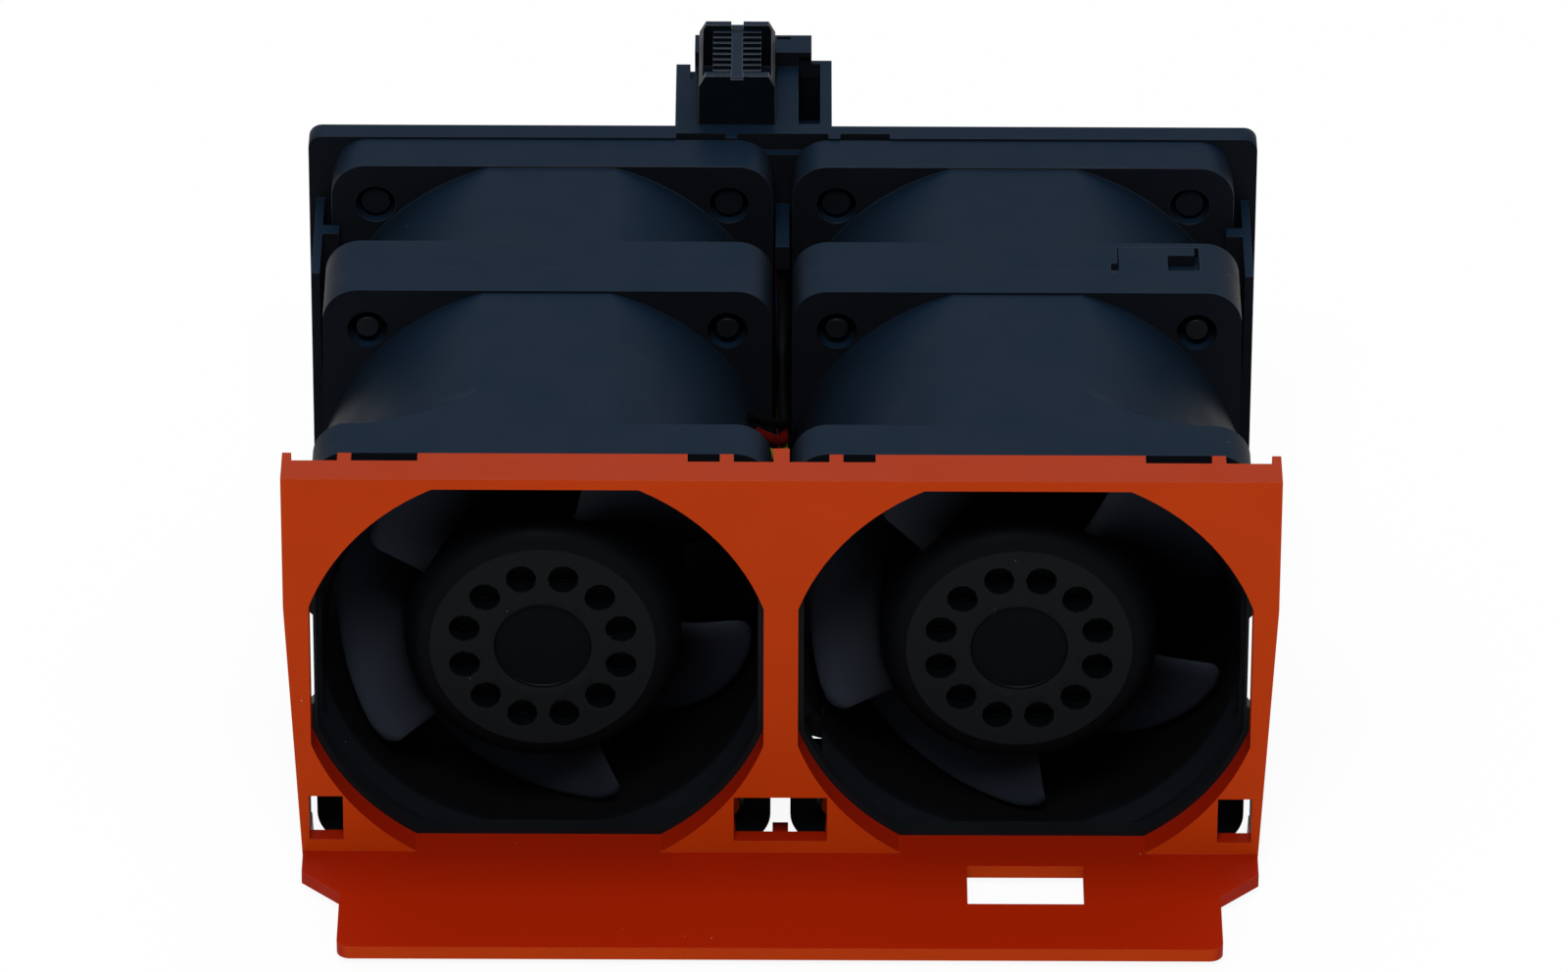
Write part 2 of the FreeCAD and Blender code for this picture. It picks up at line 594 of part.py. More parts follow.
def shaft(side, stage):
    """The shaft, with a groove near its end for the retaining clip."""
    body = new_body("%s_%s_shaft" % (side, stage))
    groove_top = "(bearing_start - clip_gap)"
    groove_foot = "(%s - clip_thickness)" % groove_top
    turned(body, "spindle", [[
        ("0", "base_inset + base_floor + shaft_end_gap"),
        ("shaft_radius", "base_inset + base_floor + shaft_end_gap"),
        ("shaft_radius", groove_foot), ("clip_groove", groove_foot), ("clip_groove", groove_top),
        ("shaft_radius", groove_top), ("shaft_radius", ceiling(stage)), ("0", ceiling(stage)),
    ]])
    seat_motor(body, side, stage)
    return body


def retaining_clip(side, stage):
    """A split ring in the shaft's groove, under the lower bearing."""
    body = new_body("%s_%s_retaining_clip" % (side, stage))
    top = "(bearing_start - clip_gap)"
    turned(body, "clip_ring", [ring("clip_groove", "clip_radius", top + " - clip_thickness", top)])
    layer(body, "clip_mouth", top, "clip_thickness", lambda sketch: rectangle(
        sketch, "0", "-clip_mouth / 2", "clip_radius + 1", "clip_mouth / 2"), cut=True)
    seat_motor(body, side, stage)
    return body


# ---- Stationary motor parts --------------------------------------------------------------------

def bearings(side, stage):
    """The two bearings in the bearing tube."""
    body = new_body("%s_%s_bearings" % (side, stage))
    bore = "(shaft_radius + shaft_fit)"
    turned(body, "bearing_pair", [
        ring(bore, "bearing_radius", "bearing_start", "bearing_start + bearing_width"),
        ring(bore, "bearing_radius", upper_bearing(stage), tube_top(stage)),
    ])
    seat_motor(body, side, stage)
    return body


def preload_washer(side, stage):
    """A cone washer on the lower bearing that presses the outer rings apart."""
    body = new_body("%s_%s_preload_washer" % (side, stage))
    foot = "(bearing_start + bearing_width)"
    rim = "(bearing_radius - washer_clearance)"
    turned(body, "washer", [[
        (rim, foot), (rim, foot + " + washer_thickness"),
        ("washer_inner", foot + " + washer_thickness + washer_rise"),
        ("washer_inner", foot + " + washer_rise"),
    ]])
    seat_motor(body, side, stage)
    return body


def stator_core(side, stage):
    """The laminated core: a ring on the bearing tube and shoed teeth."""
    body = new_body("%s_%s_stator_core" % (side, stage))
    turned(body, "yoke", [ring(TUBE_OUTER, "core_ring", "core_start", core_top(stage))])
    neck = "(%s - tooth_shoe)" % CORE_OUTER
    rim = "sqrt(%s ^ 2 - (tooth_shoe_width / 2) ^ 2)" % CORE_OUTER
    half, wide = "tooth_width / 2", "tooth_shoe_width / 2"

    def tooth(sketch):
        outline(sketch, [
            ("core_ring - tooth_bite", "-" + half), (neck, "-" + half), (neck, "-" + wide),
            (rim, "-" + wide, "0", "0", CORE_OUTER), (rim, wide), (neck, wide), (neck, half),
            ("core_ring - tooth_bite", half),
        ])

    stem = layer(body, "tooth", "core_start", "%s - core_start" % core_top(stage), tooth)
    around(body, "teeth", stem, "tooth_count", "Z_Axis")
    seat_motor(body, side, stage)
    return body


def windings(side, stage):
    """A coil round each tooth of the core."""
    body = new_body("%s_%s_windings" % (side, stage))
    inner = "(tooth_width / 2 + coil_clearance)"
    outer = "(%s + coil_width)" % inner
    foot = "(core_start - coil_clearance)"
    top = "(%s + coil_clearance)" % core_top(stage)
    near = "(core_ring + coil_clearance)"
    sketch = new_sketch(body, "coil_outline", "YZ_Plane", near)
    rectangle(sketch, "-" + outer, foot + " - coil_end", outer, top + " + coil_end")
    rectangle(sketch, "-" + inner, foot, inner, top)
    coil = run_profile(body, "coil", sketch, "%s - tooth_shoe - coil_clearance - %s" % (CORE_OUTER, near),
                       cut=False, reverse=False)
    around(body, "coils", coil, "tooth_count", "Z_Axis")
    seat_motor(body, side, stage)
    return body


def circuit_board(side, stage):
    body = new_body("%s_%s_circuit_board" % (side, stage))
    foot = "(%s + board_gap)" % BASE_TOP
    turned(body, "board", [ring(TUBE_OUTER + " + board_clearance", "base_radius - board_margin", foot,
                                foot + " + board_thickness")])
    seat_motor(body, side, stage)
    return body


# ---- Front frame -------------------------------------------------------------------------------

def opening(sketch, centre, radius, flat, top, bottom):
    """A round opening cut off flat on all four sides."""
    side_rise = "sqrt((%s) ^ 2 - (%s) ^ 2)" % (radius, flat)
    top_run = "sqrt((%s) ^ 2 - (%s) ^ 2)" % (radius, top)
    foot_run = "sqrt((%s) ^ 2 - (%s) ^ 2)" % (radius, bottom)
    outline(sketch, [
        ("%s + %s" % (centre, flat), "-" + side_rise),
        ("%s + %s" % (centre, flat), side_rise, centre, "0", radius),
        ("%s + %s" % (centre, top_run), top),
        ("%s - %s" % (centre, top_run), top, centre, "0", radius),
        ("%s - (%s)" % (centre, flat), side_rise),
        ("%s - (%s)" % (centre, flat), "-" + side_rise, centre, "0", radius),
        ("%s - %s" % (centre, foot_run), "-(%s)" % bottom),
        ("%s + %s" % (centre, foot_run), "-(%s)" % bottom, centre, "0", radius),
    ])


def mounting_pegs(sketch):
    for sign in SIDES.values():
        for x, y in FAN_HOLES:
            circle(sketch, "%d * fan_pitch / 2 + %s" % (sign, x), y, "frame_peg_radius")


def front_frame():
    """The coloured front: a shallow tray with two openings and a shelf to pull the module by."""
    body = new_body("front_frame")
    wide, foot = "frame_half_width", "frame_foot_half_width"
    under = "-" + SHELF_UNDER
    front = "-panel_front"

    def panel(sketch):
        outline(sketch, [("-" + foot, under), (foot, under), (wide, "taper_height"), (wide, HALF_FAN),
                         ("-" + wide, HALF_FAN), ("-" + wide, "taper_height")])

    def side_walls(sketch):
        for sign in ("-", ""):
            outline(sketch, [
                (sign + foot, under), (sign + wide, "taper_height"), (sign + wide, HALF_FAN),
                ("%s(%s - side_wall)" % (sign, wide), HALF_FAN),
                ("%s(%s - side_wall)" % (sign, wide), "taper_height"),
                ("%s(%s - side_wall)" % (sign, foot), under),
            ])

    def ribs(sketch):
        for sign in SIDES.values():
            middle = "%d * pad_centre" % sign
            rectangle(sketch, middle + " - pad_half_width", "opening_top",
                      middle + " + pad_half_width", HALF_FAN)
            for rib in ("outer_rib", "inner_rib"):
                middle = "%d * %s" % (sign, rib)
                rectangle(sketch, middle + " - rib_width / 2", HALF_FAN + " - rib_drop",
                          middle + " + rib_width / 2", HALF_FAN)

    def key(bottom, top):
        half = "(fan_gap / 2 - key_clearance)"
        return lambda sketch: rectangle(sketch, "-" + half, bottom, half, top)

    def collars(sketch):
        for sign in SIDES.values():
            opening(sketch, "%d * opening_centre" % sign, "opening_radius + collar_wall",
                    "opening_flat + collar_wall", HALF_FAN, SHELF_UNDER)

    def openings(sketch):
        for sign in SIDES.values():
            opening(sketch, "%d * opening_centre" % sign, "opening_radius", "opening_flat", "opening_top",
                    "shelf_top")

    def windows(sketch):
        spans = [("-side_window_outer", "-side_window_inner"), ("-centre_window", "centre_window"),
                 ("side_window_inner", "side_window_outer")]
        for left, right in spans:
            rectangle(sketch, left, "-window_bottom", right, "-window_top")

    def shelf(sketch):
        neck = "shelf_half_width"
        outline(sketch, [
            ("-" + neck, "-shelf_reach"), (neck, "-shelf_reach"), (neck, "-shelf_neck"),
            (foot, "-shelf_shoulder"), (foot, "-panel_front + panel_thickness"),
            ("-" + foot, "-panel_front + panel_thickness"), ("-" + foot, "-shelf_shoulder"),
            ("-" + neck, "-shelf_neck"),
        ])

    slab(body, "panel", front, "panel_thickness", panel)
    slab(body, "side_walls", front, "panel_front", side_walls)
    slab(body, "top_wall", front, "top_wall_depth", lambda sketch: rectangle(
        sketch, "-" + wide, HALF_FAN + " - top_wall", wide, HALF_FAN))
    slab(body, "floor", front, "collar_depth", lambda sketch: rectangle(
        sketch, "-" + foot, under, foot, "-shelf_top"))
    slab(body, "collars", front, "collar_depth", collars)
    slab(body, "ribs", front, "panel_front", ribs)
    slab(body, "top_key", front, "panel_front + top_key_reach", key(HALF_FAN + " - key_drop", HALF_FAN))
    slab(body, "foot_key", front, "panel_front + foot_key_reach", key(under, "-shelf_top"))
    slab(body, "pegs", "panel_thickness / 2 - panel_front",
         "panel_front - panel_thickness / 2 + frame_peg_length", mounting_pegs)
    layer(body, "shelf", under, "shelf_thickness", shelf)
    slab(body, "openings", front + " - 1", "panel_front + 1", openings, cut=True)
    slab(body, "windows", front + " - 1", "panel_front + 1", windows, cut=True)
    layer(body, "shelf_slot", "-shelf_top + 1", "shelf_thickness + 2", lambda sketch: rectangle(
        sketch, "slot_left", "-slot_front", "slot_right", "-slot_back"), cut=True)
    reach = value("shelf_reach")
    round_edges(body, "shelf_corners", "shelf_corner", lambda edge: (
        abs(edge.CenterOfMass.y + reach) < 1e-4 and edge.BoundBox.XLength < 1e-4
        and edge.BoundBox.YLength < 1e-4))
    place(body)
    return body


# ---- Rear frame --------------------------------------------------------------------------------

def rear_frame():
    """The back plate with the air outlets, the side arms that hook the fans, and the plug's deck."""
    body = new_body("rear_frame")
    arm_inner = "(fan_side + arm_clearance)"
    arm_outer = "(%s + arm_thickness)" % arm_inner

    def arms(sketch):
        rectangle(sketch, arm_inner, "arm_bottom", arm_outer, "arm_top")
        rectangle(sketch, "-" + arm_outer, "arm_bottom", "-" + arm_inner, "arm_top")

    def hooks(sketch):
        rectangle(sketch, arm_inner + " - arm_hook", "arm_hook_bottom", arm_outer, "arm_top")
        rectangle(sketch, "-" + arm_outer, "arm_hook_bottom", "arm_hook - " + arm_inner, "arm_top")

    def outlets(sketch):
        for sign in SIDES.values():
            circle(sketch, "%d * fan_pitch / 2" % sign, "0", "bore_radius")

    def notches(sketch):
        spans = [("-side_notch_outer", "-side_notch_inner"), ("-notch_half", "notch_half"),
                 ("side_notch_inner", "side_notch_outer")]
        for left, right in spans:
            rectangle(sketch, left, "plate_top - notch_drop", right, "plate_top + 1")

    def deck(sketch):
        start = PLATE_BACK + " - plate_thickness / 2"
        end = PLATE_BACK + " + deck_length"
        strip_end = PLATE_BACK + " + deck_strip"
        outline(sketch, [
            ("-deck_left", start), ("deck_right", start), ("deck_right", end), ("-strip_slot_right", end),
            ("-strip_slot_right", strip_end + " - strip_slot_length"),
            ("-strip_slot_left", strip_end + " - strip_slot_length"),
            ("-strip_slot_left", strip_end), ("-deck_left", strip_end),
        ])

    def plug_hole(sketch):
        rectangle(sketch, "-plug_centre - plug_width / 2 - plug_fit", PLUG_FRONT + " - plug_fit",
                  "-plug_centre + plug_width / 2 + plug_fit", PLUG_BACK + " + plug_fit")

    def skirts(sketch):
        for sign in SIDES.values():
            near = "-plug_centre + %d * (plug_width / 2 + plug_fit)" % sign
            far = "-plug_centre + %d * (plug_width / 2 + plug_fit + skirt_wall)" % sign
            rectangle(sketch, near, DECK_UNDER + " - skirt_drop", far, "plate_top - deck_thickness / 2")

    slab(body, "plate", "fan_depth", "plate_thickness", lambda sketch: rounded(
        sketch, "-plate_half_width", "-" + HALF_FAN, "plate_half_width", "plate_top", "plate_corner"))
    slab(body, "outlets", "fan_depth - 1", "plate_thickness + 2", outlets, cut=True)
    slab(body, "notches", "fan_depth - 1", "notch_depth + 1", notches, cut=True)
    slab(body, "lead_slot", "fan_depth - 1", "plate_thickness + 2", lambda sketch: rectangle(
        sketch, "-lead_slot_half", "lead_slot_bottom", "lead_slot_half", "lead_slot_top"), cut=True)
    slab(body, "pegs", "fan_depth - frame_peg_length", "frame_peg_length + plate_thickness / 2",
         mounting_pegs)
    slab(body, "fin", "fan_depth - fin_reach", "fin_reach + plate_thickness / 2", lambda sketch: rectangle(
        sketch, "-fin_width / 2", "fin_top - fin_height", "fin_width / 2", "fin_top"))
    slab(body, "arms", "fan_depth - arm_reach", "arm_reach + plate_thickness / 2", arms)
    slab(body, "hooks", "fan_depth - rear_flange - arm_hook_gap - arm_hook_length", "arm_hook_length",
         hooks)
    layer(body, "deck", DECK_UNDER, "deck_thickness", deck)
    layer(body, "ledge", DECK_UNDER, "deck_thickness + ledge_rise", lambda sketch: rectangle(
        sketch, "-ledge_left", PLUG_BACK + " + ledge_gap", "ledge_right",
        PLUG_BACK + " + ledge_gap + ledge_length"))
    layer(body, "ledge_groove", "plate_top + ledge_rise", "groove_depth",
          lambda sketch: rectangle(
              sketch, "-groove_left", PLUG_BACK + " + ledge_gap + groove_start", "groove_right",
              PLUG_BACK + " + ledge_gap + groove_start + groove_width"), cut=True)
    slab(body, "skirts", PLATE_BACK + " - plate_thickness / 2", "plate_thickness / 2 + deck_strip", skirts)
    layer(body, "well", "plate_top + 1", "deck_thickness + 2", lambda sketch: rectangle(
        sketch, "well_left", PLATE_BACK + " + well_inset", "well_right",
        PLATE_BACK + " + well_inset + well_length"), cut=True)
    layer(body, "plug_hole", "plate_top + 1", "deck_thickness + 2", plug_hole, cut=True)
    place(body)
    return body


# ---- Plug and leads ----------------------------------------------------------------------------

def plug_housing():
    """The plug that mates upwards: end walls, and a slotted block for the contacts."""
    body = new_body("plug_housing")
    half = "plug_width / 2"
    foot = "plate_top - plug_drop"
    crown = "plate_top + plug_rise"
    floor = "plate_top + plug_floor"
    inner_front = PLUG_FRONT + " + plug_end_wall"
    inner_back = PLUG_BACK + " - plug_end_wall"
    middle = "(%s + plug_length / 2)" % PLUG_FRONT

    def shape(sketch):
        outline(sketch, [
            ("-" + half, foot), (half, foot), (half, crown + " - plug_chamfer_height"),
            (half + " - plug_chamfer", crown), ("plug_chamfer - " + half, crown),
            ("-" + half, crown + " - plug_chamfer_height"),
        ])

    def ribs(sketch):
        for number in range(int(value("contact_rows")) + 1):
            near = "%s + (%d - contact_rows / 2) * slot_pitch - slot_wall / 2" % (middle, number)
            rectangle(sketch, "-block_width / 2", near, "block_width / 2", near + " + slot_wall")

    slab(body, "case", PLUG_FRONT, "plug_length", shape)
    layer(body, "mouth", crown + " + 1", "plug_rise - plug_floor + 1", lambda sketch: rectangle(
        sketch, "plug_side_wall - " + half, inner_front, half + " - plug_side_wall", inner_back), cut=True)
    layer(body, "spine", floor, "plug_rise - plug_floor - block_drop", lambda sketch: rectangle(
        sketch, "-spine_width / 2", inner_front, "spine_width / 2", inner_back))
    layer(body, "slot_walls", floor, "plug_rise - plug_floor - block_drop", ribs)
    layer(body, "end_notches", crown + " + 1", "plug_end_notch_drop + 1", lambda sketch: rectangle(
        sketch, "-plug_end_notch / 2", PLUG_FRONT + " - 1", "plug_end_notch / 2", PLUG_BACK + " + 1"),
        cut=True)
    place(body, "-plug_centre")
    return body


def plug_contacts():
    """Contact leaves, one in each slot on either side of the plug's block."""
    body = new_body("plug_contacts")
    middle = "(%s + plug_length / 2)" % PLUG_FRONT

    def leaves(sketch):
        for number in range(int(value("contact_rows"))):
            near = "%s + (%d - (contact_rows - 1) / 2) * slot_pitch - contact_width / 2" % (middle, number)
            for sign in SIDES.values():
                edge = "%d * block_width / 2" % sign
                inset = "%d * (block_width / 2 - contact_thickness)" % sign
                rectangle(sketch, inset, near, edge, near + " + contact_width")

    layer(body, "leaves", "plate_top + plug_floor", "plug_rise - plug_floor - block_drop - contact_drop",
          leaves)
    place(body, "-plug_centre")
    return body


def rounded_path(points):
    """Straight runs joined by arcs as large as the shorter run beside each corner allows."""
    edges = []
    start = points[0]
    for before, corner, after in zip(points, points[1:], points[2:]):
        arriving = (corner - before).normalize()
        leaving = (after - corner).normalize()
        cutback = 0.45 * min((corner - before).Length, (after - corner).Length)
        begin = corner - arriving * cutback
        end = corner + leaving * cutback
        half_turn = arriving.getAngle(leaving) / 2
        bisector = (leaving - arriving).normalize()
        radius = cutback / math.tan(half_turn)
        middle = corner + bisector * (radius / math.cos(half_turn) - radius)
        edges += [Part.makeLine(start, begin), Part.Arc(begin, middle, end).toShape()]
        start = end
    edges.append(Part.makeLine(start, points[-1]))
    return Part.Wire(edges)


def lead(number):
    """One lead: out of a fan's barrel, along the gap between the fans and up into the plug."""
    fan = -1 if number < 4 else 1
    height = value("lead_top - %d * lead_pitch" % number)
    exit_height = height + value("lead_drop")
    wall = value("fan_pitch / 2") - math.sqrt(value("barrel_radius") ** 2 - exit_height ** 2)
    exit_x = fan * (wall - value("lead_radius + lead_gap"))
    start = value("lead_start - %d * lead_pitch" % number)
    riser = value("%s + lead_riser + %d * lead_pitch" % (PLATE_BACK, number))
    contact_x = value("-plug_centre") + value("lead_spread") * (-1) ** number
    plug_under = value("plate_top - plug_drop")
    points = [Vector(exit_x, start, exit_height),
              Vector(-fan * value("lead_bow"), start + value("lead_turn"), height),
              Vector(0, start + value("lead_turn + lead_settle"), height), Vector(0, riser, height),
              Vector(contact_x, riser, plug_under - value("lead_entry")),
              Vector(contact_x, riser, plug_under)]
    path = rounded_path(points)
    along = (points[1] - points[0]).normalize()
    across = along.cross(Vector(0, 0, 1))
    sides = int(value("lead_sides"))
    rim = [points[0] + Rotation(along, 360.0 * step / sides).multVec(across * value("lead_radius"))
           for step in range(sides)]
    return path.makePipeShell([Part.makePolygon(rim + rim[:1])], True, True)


def leads():
    """The fans' leads, grouped by the colour of their insulation."""
    made = []
    for index, colour in enumerate(("black", "red", "yellow", "blue")):
        node = doc.addObject("Part::Feature", colour + "_leads")
        node.Label = colour + "_leads"
        node.Shape = Part.makeCompound([lead(index), lead(index + 4)])
        place(node)
        made.append(node)
    return made


# ---- The whole module --------------------------------------------------------------------------

MOTOR_PARTS = (impeller, rotor_cup, magnet_ring, shaft, retaining_clip, bearings, preload_washer,
               stator_core, windings, circuit_board)

nodes = [front_frame(), rear_frame(), plug_housing(), plug_contacts()] + leads()
for side in SIDES:
    nodes.append(joining_pegs(side))
    for stage in STAGES:
        nodes.append(housing(side, stage))
        nodes += [make(side, stage) for make in MOTOR_PARTS]

doc.recompute()
for item in doc.Objects:
    if "Invalid" in item.State or "Error" in item.State:
        raise RuntimeError("%s did not build: %s" % (item.Label, item.State))

os.makedirs("parts", exist_ok=True)
for node in nodes:
    if node.Shape.isNull() or not node.Shape.isValid():
        raise RuntimeError("%s has no valid shape" % node.Label)
    node.Shape.exportStep("parts/%s.step" % node.Label)
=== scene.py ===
import bmesh
import bpy
import json
import math
from mathutils import Matrix, Vector


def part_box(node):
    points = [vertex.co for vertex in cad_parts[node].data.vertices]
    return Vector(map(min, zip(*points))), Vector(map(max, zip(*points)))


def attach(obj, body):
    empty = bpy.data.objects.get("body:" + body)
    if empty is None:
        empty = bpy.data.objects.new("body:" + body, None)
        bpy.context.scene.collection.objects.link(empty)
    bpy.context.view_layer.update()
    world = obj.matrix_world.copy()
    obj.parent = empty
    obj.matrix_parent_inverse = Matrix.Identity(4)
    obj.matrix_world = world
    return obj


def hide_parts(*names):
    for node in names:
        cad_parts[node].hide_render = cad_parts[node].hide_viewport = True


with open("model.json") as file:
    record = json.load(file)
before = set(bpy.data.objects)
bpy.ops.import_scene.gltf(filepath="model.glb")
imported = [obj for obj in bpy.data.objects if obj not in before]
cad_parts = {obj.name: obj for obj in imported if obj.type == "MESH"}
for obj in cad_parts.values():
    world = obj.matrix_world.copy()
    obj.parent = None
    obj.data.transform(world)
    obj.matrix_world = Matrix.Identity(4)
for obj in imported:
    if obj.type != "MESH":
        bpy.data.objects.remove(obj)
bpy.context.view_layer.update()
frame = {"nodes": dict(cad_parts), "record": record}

MM = 0.001
SIDES = ("left", "right")
STAGES = ("front", "rear")
BEHAVIOUR = frame["record"]["behaviour"]
BODY_OF = {node: body for body, nodes in BEHAVIOUR["bodies"].items() for node in nodes}
SLOT_OF = {part["node"]: part["material_slot"] for part in frame["record"]["subparts"]}
SPIN_AT = {joint["name"]: Vector(joint["pos_m"]) for joint in BEHAVIOUR["joints"]}
AXIS_X = SPIN_AT["right_front_spin"].x
AXIS_Z = SPIN_AT["right_front_spin"].z
FANS_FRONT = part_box("left_front_housing")[0].y

# ---- Sizes of the impellers --------------------------------------------------------------------
# In millimetres and degrees, as in the part's source. The materials use some of them too.

TIP_RADIUS = 18.3
HUB_RADIUS = 12.2
HUB_WALL = 0.8
HUB_INSET = 0.5
HUB_FACE_RADIUS = 9.96
SHOULDER_DROP = 2.6
RECESS_RADIUS = 4.25
RECESS_DEPTH = 0.5
POCKETS = 12
POCKET_CIRCLE = 7.1
POCKET_RADIUS = 1.33
POCKET_DEPTH = 2.2
POCKET_ANGLE = 15.0
EDGE_BREAK = 0.12
EDGE_MIDDLE = 0.3 * EDGE_BREAK
DISH_MIDDLE = 1.0
ARC_STEPS = 8
RADIAL_STEPS = 4
SHOULDER_STEPS = 8
SHOULDER_POWER = 0.9
BLADE_ROOT = 11.8
BLADE_LEAD_ANGLE = 220.5
BLADE_LEAN = 1.0
BLADE_WRAP = 70.0
BLADE_BOW = 0.042
BLADE_CORNER = 2.1
BLADES = {
    "front": {"count": 5, "inset": 2.6, "length": 14.1},
    "rear": {"count": 3, "inset": 2.0, "length": 14.0},
}
SIDE_TURN = {"left": 0.0, "right": 129.7}

# A blade's section: how thick it is, and where along the chord and the span that changes, as shares.
ROOT_THICKNESS = 1.7
TIP_THICKNESS = 1.2
NOSE_END = 0.05
TAPER_START = 0.25
TAPER = 0.55
THINNEST = 0.12
TAIL_EDGE = 0.5
FILLET = 0.7
FILLET_END = 0.2
TIP_BREAK_START = 0.97
TIP_BREAK = 0.6
CHORD_STEPS = 26
SPAN_STEPS = 12
IMPELLER_WELD = 1e-4


# ---- Camera ------------------------------------------------------------------------------------

LENS_MM = 268.7
SENSOR_MM = 36.0
CAMERA_PITCH = math.radians(30.777)
CAMERA_ROLL = math.radians(0.211)
CAMERA_DISTANCE = 1.0485
CAMERA_CLIP = (0.01, 20)
AIM_FROM_FANS = Vector((0.216, 28.0, 0.134)) * MM


def make_camera():
    """A long lens that looks down at the front frame's top edge from in front."""
    aim = Vector((0, FANS_FRONT, AXIS_Z)) + AIM_FROM_FANS
    data = bpy.data.cameras.new("camera")
    data.lens = LENS_MM
    data.sensor_width = SENSOR_MM
    data.clip_start, data.clip_end = CAMERA_CLIP
    camera = bpy.data.objects.new("camera", data)
    bpy.context.scene.collection.objects.link(camera)
    turn = Matrix.Rotation(math.pi / 2 - CAMERA_PITCH, 4, "X") @ Matrix.Rotation(CAMERA_ROLL, 4, "Z")
    back = Vector((0, -math.cos(CAMERA_PITCH), math.sin(CAMERA_PITCH))) * CAMERA_DISTANCE
    camera.matrix_world = Matrix.Translation(aim + back) @ turn
    bpy.context.scene.camera = camera


# ---- Node helpers ------------------------------------------------------------------------------

# A Mix node has sockets of the same name for each kind of data. These are the numbers of the colour ones.
MIX_SHARE, MIX_FIRST, MIX_SECOND, MIX_RESULT = 0, 6, 7, 2


class Shader:
    """A material's node tree, built up node by node."""

    def __init__(self, name):
        self.material = bpy.data.materials.new(name)
        self.material.use_nodes = True
        self.tree = self.material.node_tree
        self.surface = self.tree.nodes["Principled BSDF"]
        self.place = self.tree.nodes.new("ShaderNodeTexCoord").outputs["Object"]

    def add(self, kind, **settings):
        """A new node, with properties and inputs set by name."""
        node = self.tree.nodes.new("ShaderNode" + kind)
        for name, setting in settings.items():
            if hasattr(node, name) and name not in node.inputs:
                setattr(node, name, setting)
            else:
                self.feed(node, name, setting)
        return node

    def feed(self, node, name, setting):
        """Set one input, by name or number, to a value or to another node's output."""
        socket = node.inputs[name]
        if isinstance(setting, bpy.types.NodeSocket):
            self.tree.links.new(setting, socket)
        else:
            socket.default_value = setting

    def stretched(self, scale):
        """The place on the object with each axis scaled by its own factor."""
        return self.add("Mapping", Vector=self.place, Scale=scale).outputs["Vector"]

    def split(self, vector):
        """A vector's outputs X, Y and Z."""
        return self.add("SeparateXYZ", Vector=vector).outputs

    def noise(self, cells_per_mm, detail=3.0, roughness=0.55, place=None):
        """Smooth noise from 0 to 1, mostly near the middle."""
        node = self.add("TexNoise", Scale=cells_per_mm / MM, Detail=detail, Roughness=roughness,
                        Vector=place or self.place)
        return node.outputs["Fac"]

    def spread(self, value, low, high, to_low=0.0, to_high=1.0):
        """A value from one range brought into another, and held inside it."""
        node = self.add("MapRange")
        for name, setting in (("Value", value), ("From Min", low), ("From Max", high),
                              ("To Min", to_low), ("To Max", to_high)):
            self.feed(node, name, setting)
        return node.outputs["Result"]

    def blend(self, share, first, second):
        """The first colour, turning into the second as the share goes from 0 to 1."""
        node = self.add("Mix", data_type="RGBA")
        for number, setting in ((MIX_SHARE, share), (MIX_FIRST, first), (MIX_SECOND, second)):
            self.feed(node, number, setting)
        return node.outputs[MIX_RESULT]

    def calc(self, operation, *values):
        """One sum, as a Math node names it."""
        node = self.add("Math", operation=operation)
        for number, value in enumerate(values):
            self.feed(node, number, value)
        return node.outputs["Value"]

    def facing(self, axis, low, high):
        """1 where the surface faces along an axis, falling to 0 as it turns away."""
        return self.spread(self.split(self.add("NewGeometry").outputs["Normal"])[axis], low, high)

    def bump(self, height, depth_mm, strength=1.0, under=None):
        """The surface's direction, tilted by a height and on top of another bump if there is one."""
        node = self.add("Bump", Strength=strength, Distance=depth_mm * MM, Height=height)
        if under is not None:
            self.feed(node, "Normal", under)
        return node.outputs["Normal"]

    def finish(self, **inputs):
        """Set the surface's inputs, an underscore standing for a space, and give the material."""
        for name, setting in inputs.items():
            self.feed(self.surface, name.replace("_", " "), setting)
        return self.material


def rgb(red, green, blue):
    return (red, green, blue, 1.0)


# ---- Materials ---------------------------------------------------------------------------------
# Colours are linear. A patch is a share, given by the place or by the way a surface faces, and the
# colour that the plastic takes there; each patch here is painted light or shade. A fade is in
# millimetres. A facing is a range of the normal's part along an axis.

BLACK = (0.0040, 0.0050, 0.0070)
PALE_BLACK = (0.0047, 0.0059, 0.0083)
BLUE_SHEEN = (0.62, 0.80, 1.0)
# Painted sheen: a blue-grey colour on what faces up, standing for the light from above and behind.
PAINTED_TOP_SHEEN = (0.0046, 0.0114, 0.0228)
PAINTED_SHEEN_FADE = 2
PAINTED_SHEEN_FACING = (0.4, 0.95)
# Painted shade: a deeper black inside the bores, where little light reaches.
BORE_PAINTED_SHADE = (0.0022, 0.0024, 0.0028)
BORE_SHADE_FADE = (19.4, 19.6)
# Painted shade: up-facing orange is painted duller, holding back the light it gets from above.
TOP_FACE_PAINTED_SHADE = (0.305, 0.0250, 0.0018)
TOP_FACE_SHADE_FACING = (0.3, 0.8)
# Painted shade: low down, what doesn't face the front is painted a darker, deeper red.
LOW_PAINTED_SHADE_RED = (0.325, 0.0130, 0.0008)
LOW_SHADE_FADE = 8
LOW_SHADE_FACING = (-0.97, -0.75)
# Painted shadow: the shelf and the collar's low band are painted darker still near the panel, where its
# shadow falls.
NEAR_PANEL_PAINTED_SHADOW = (0.235, 0.0085, 0.0006)
NEAR_PANEL_SHADOW_FADE = (12, 5)
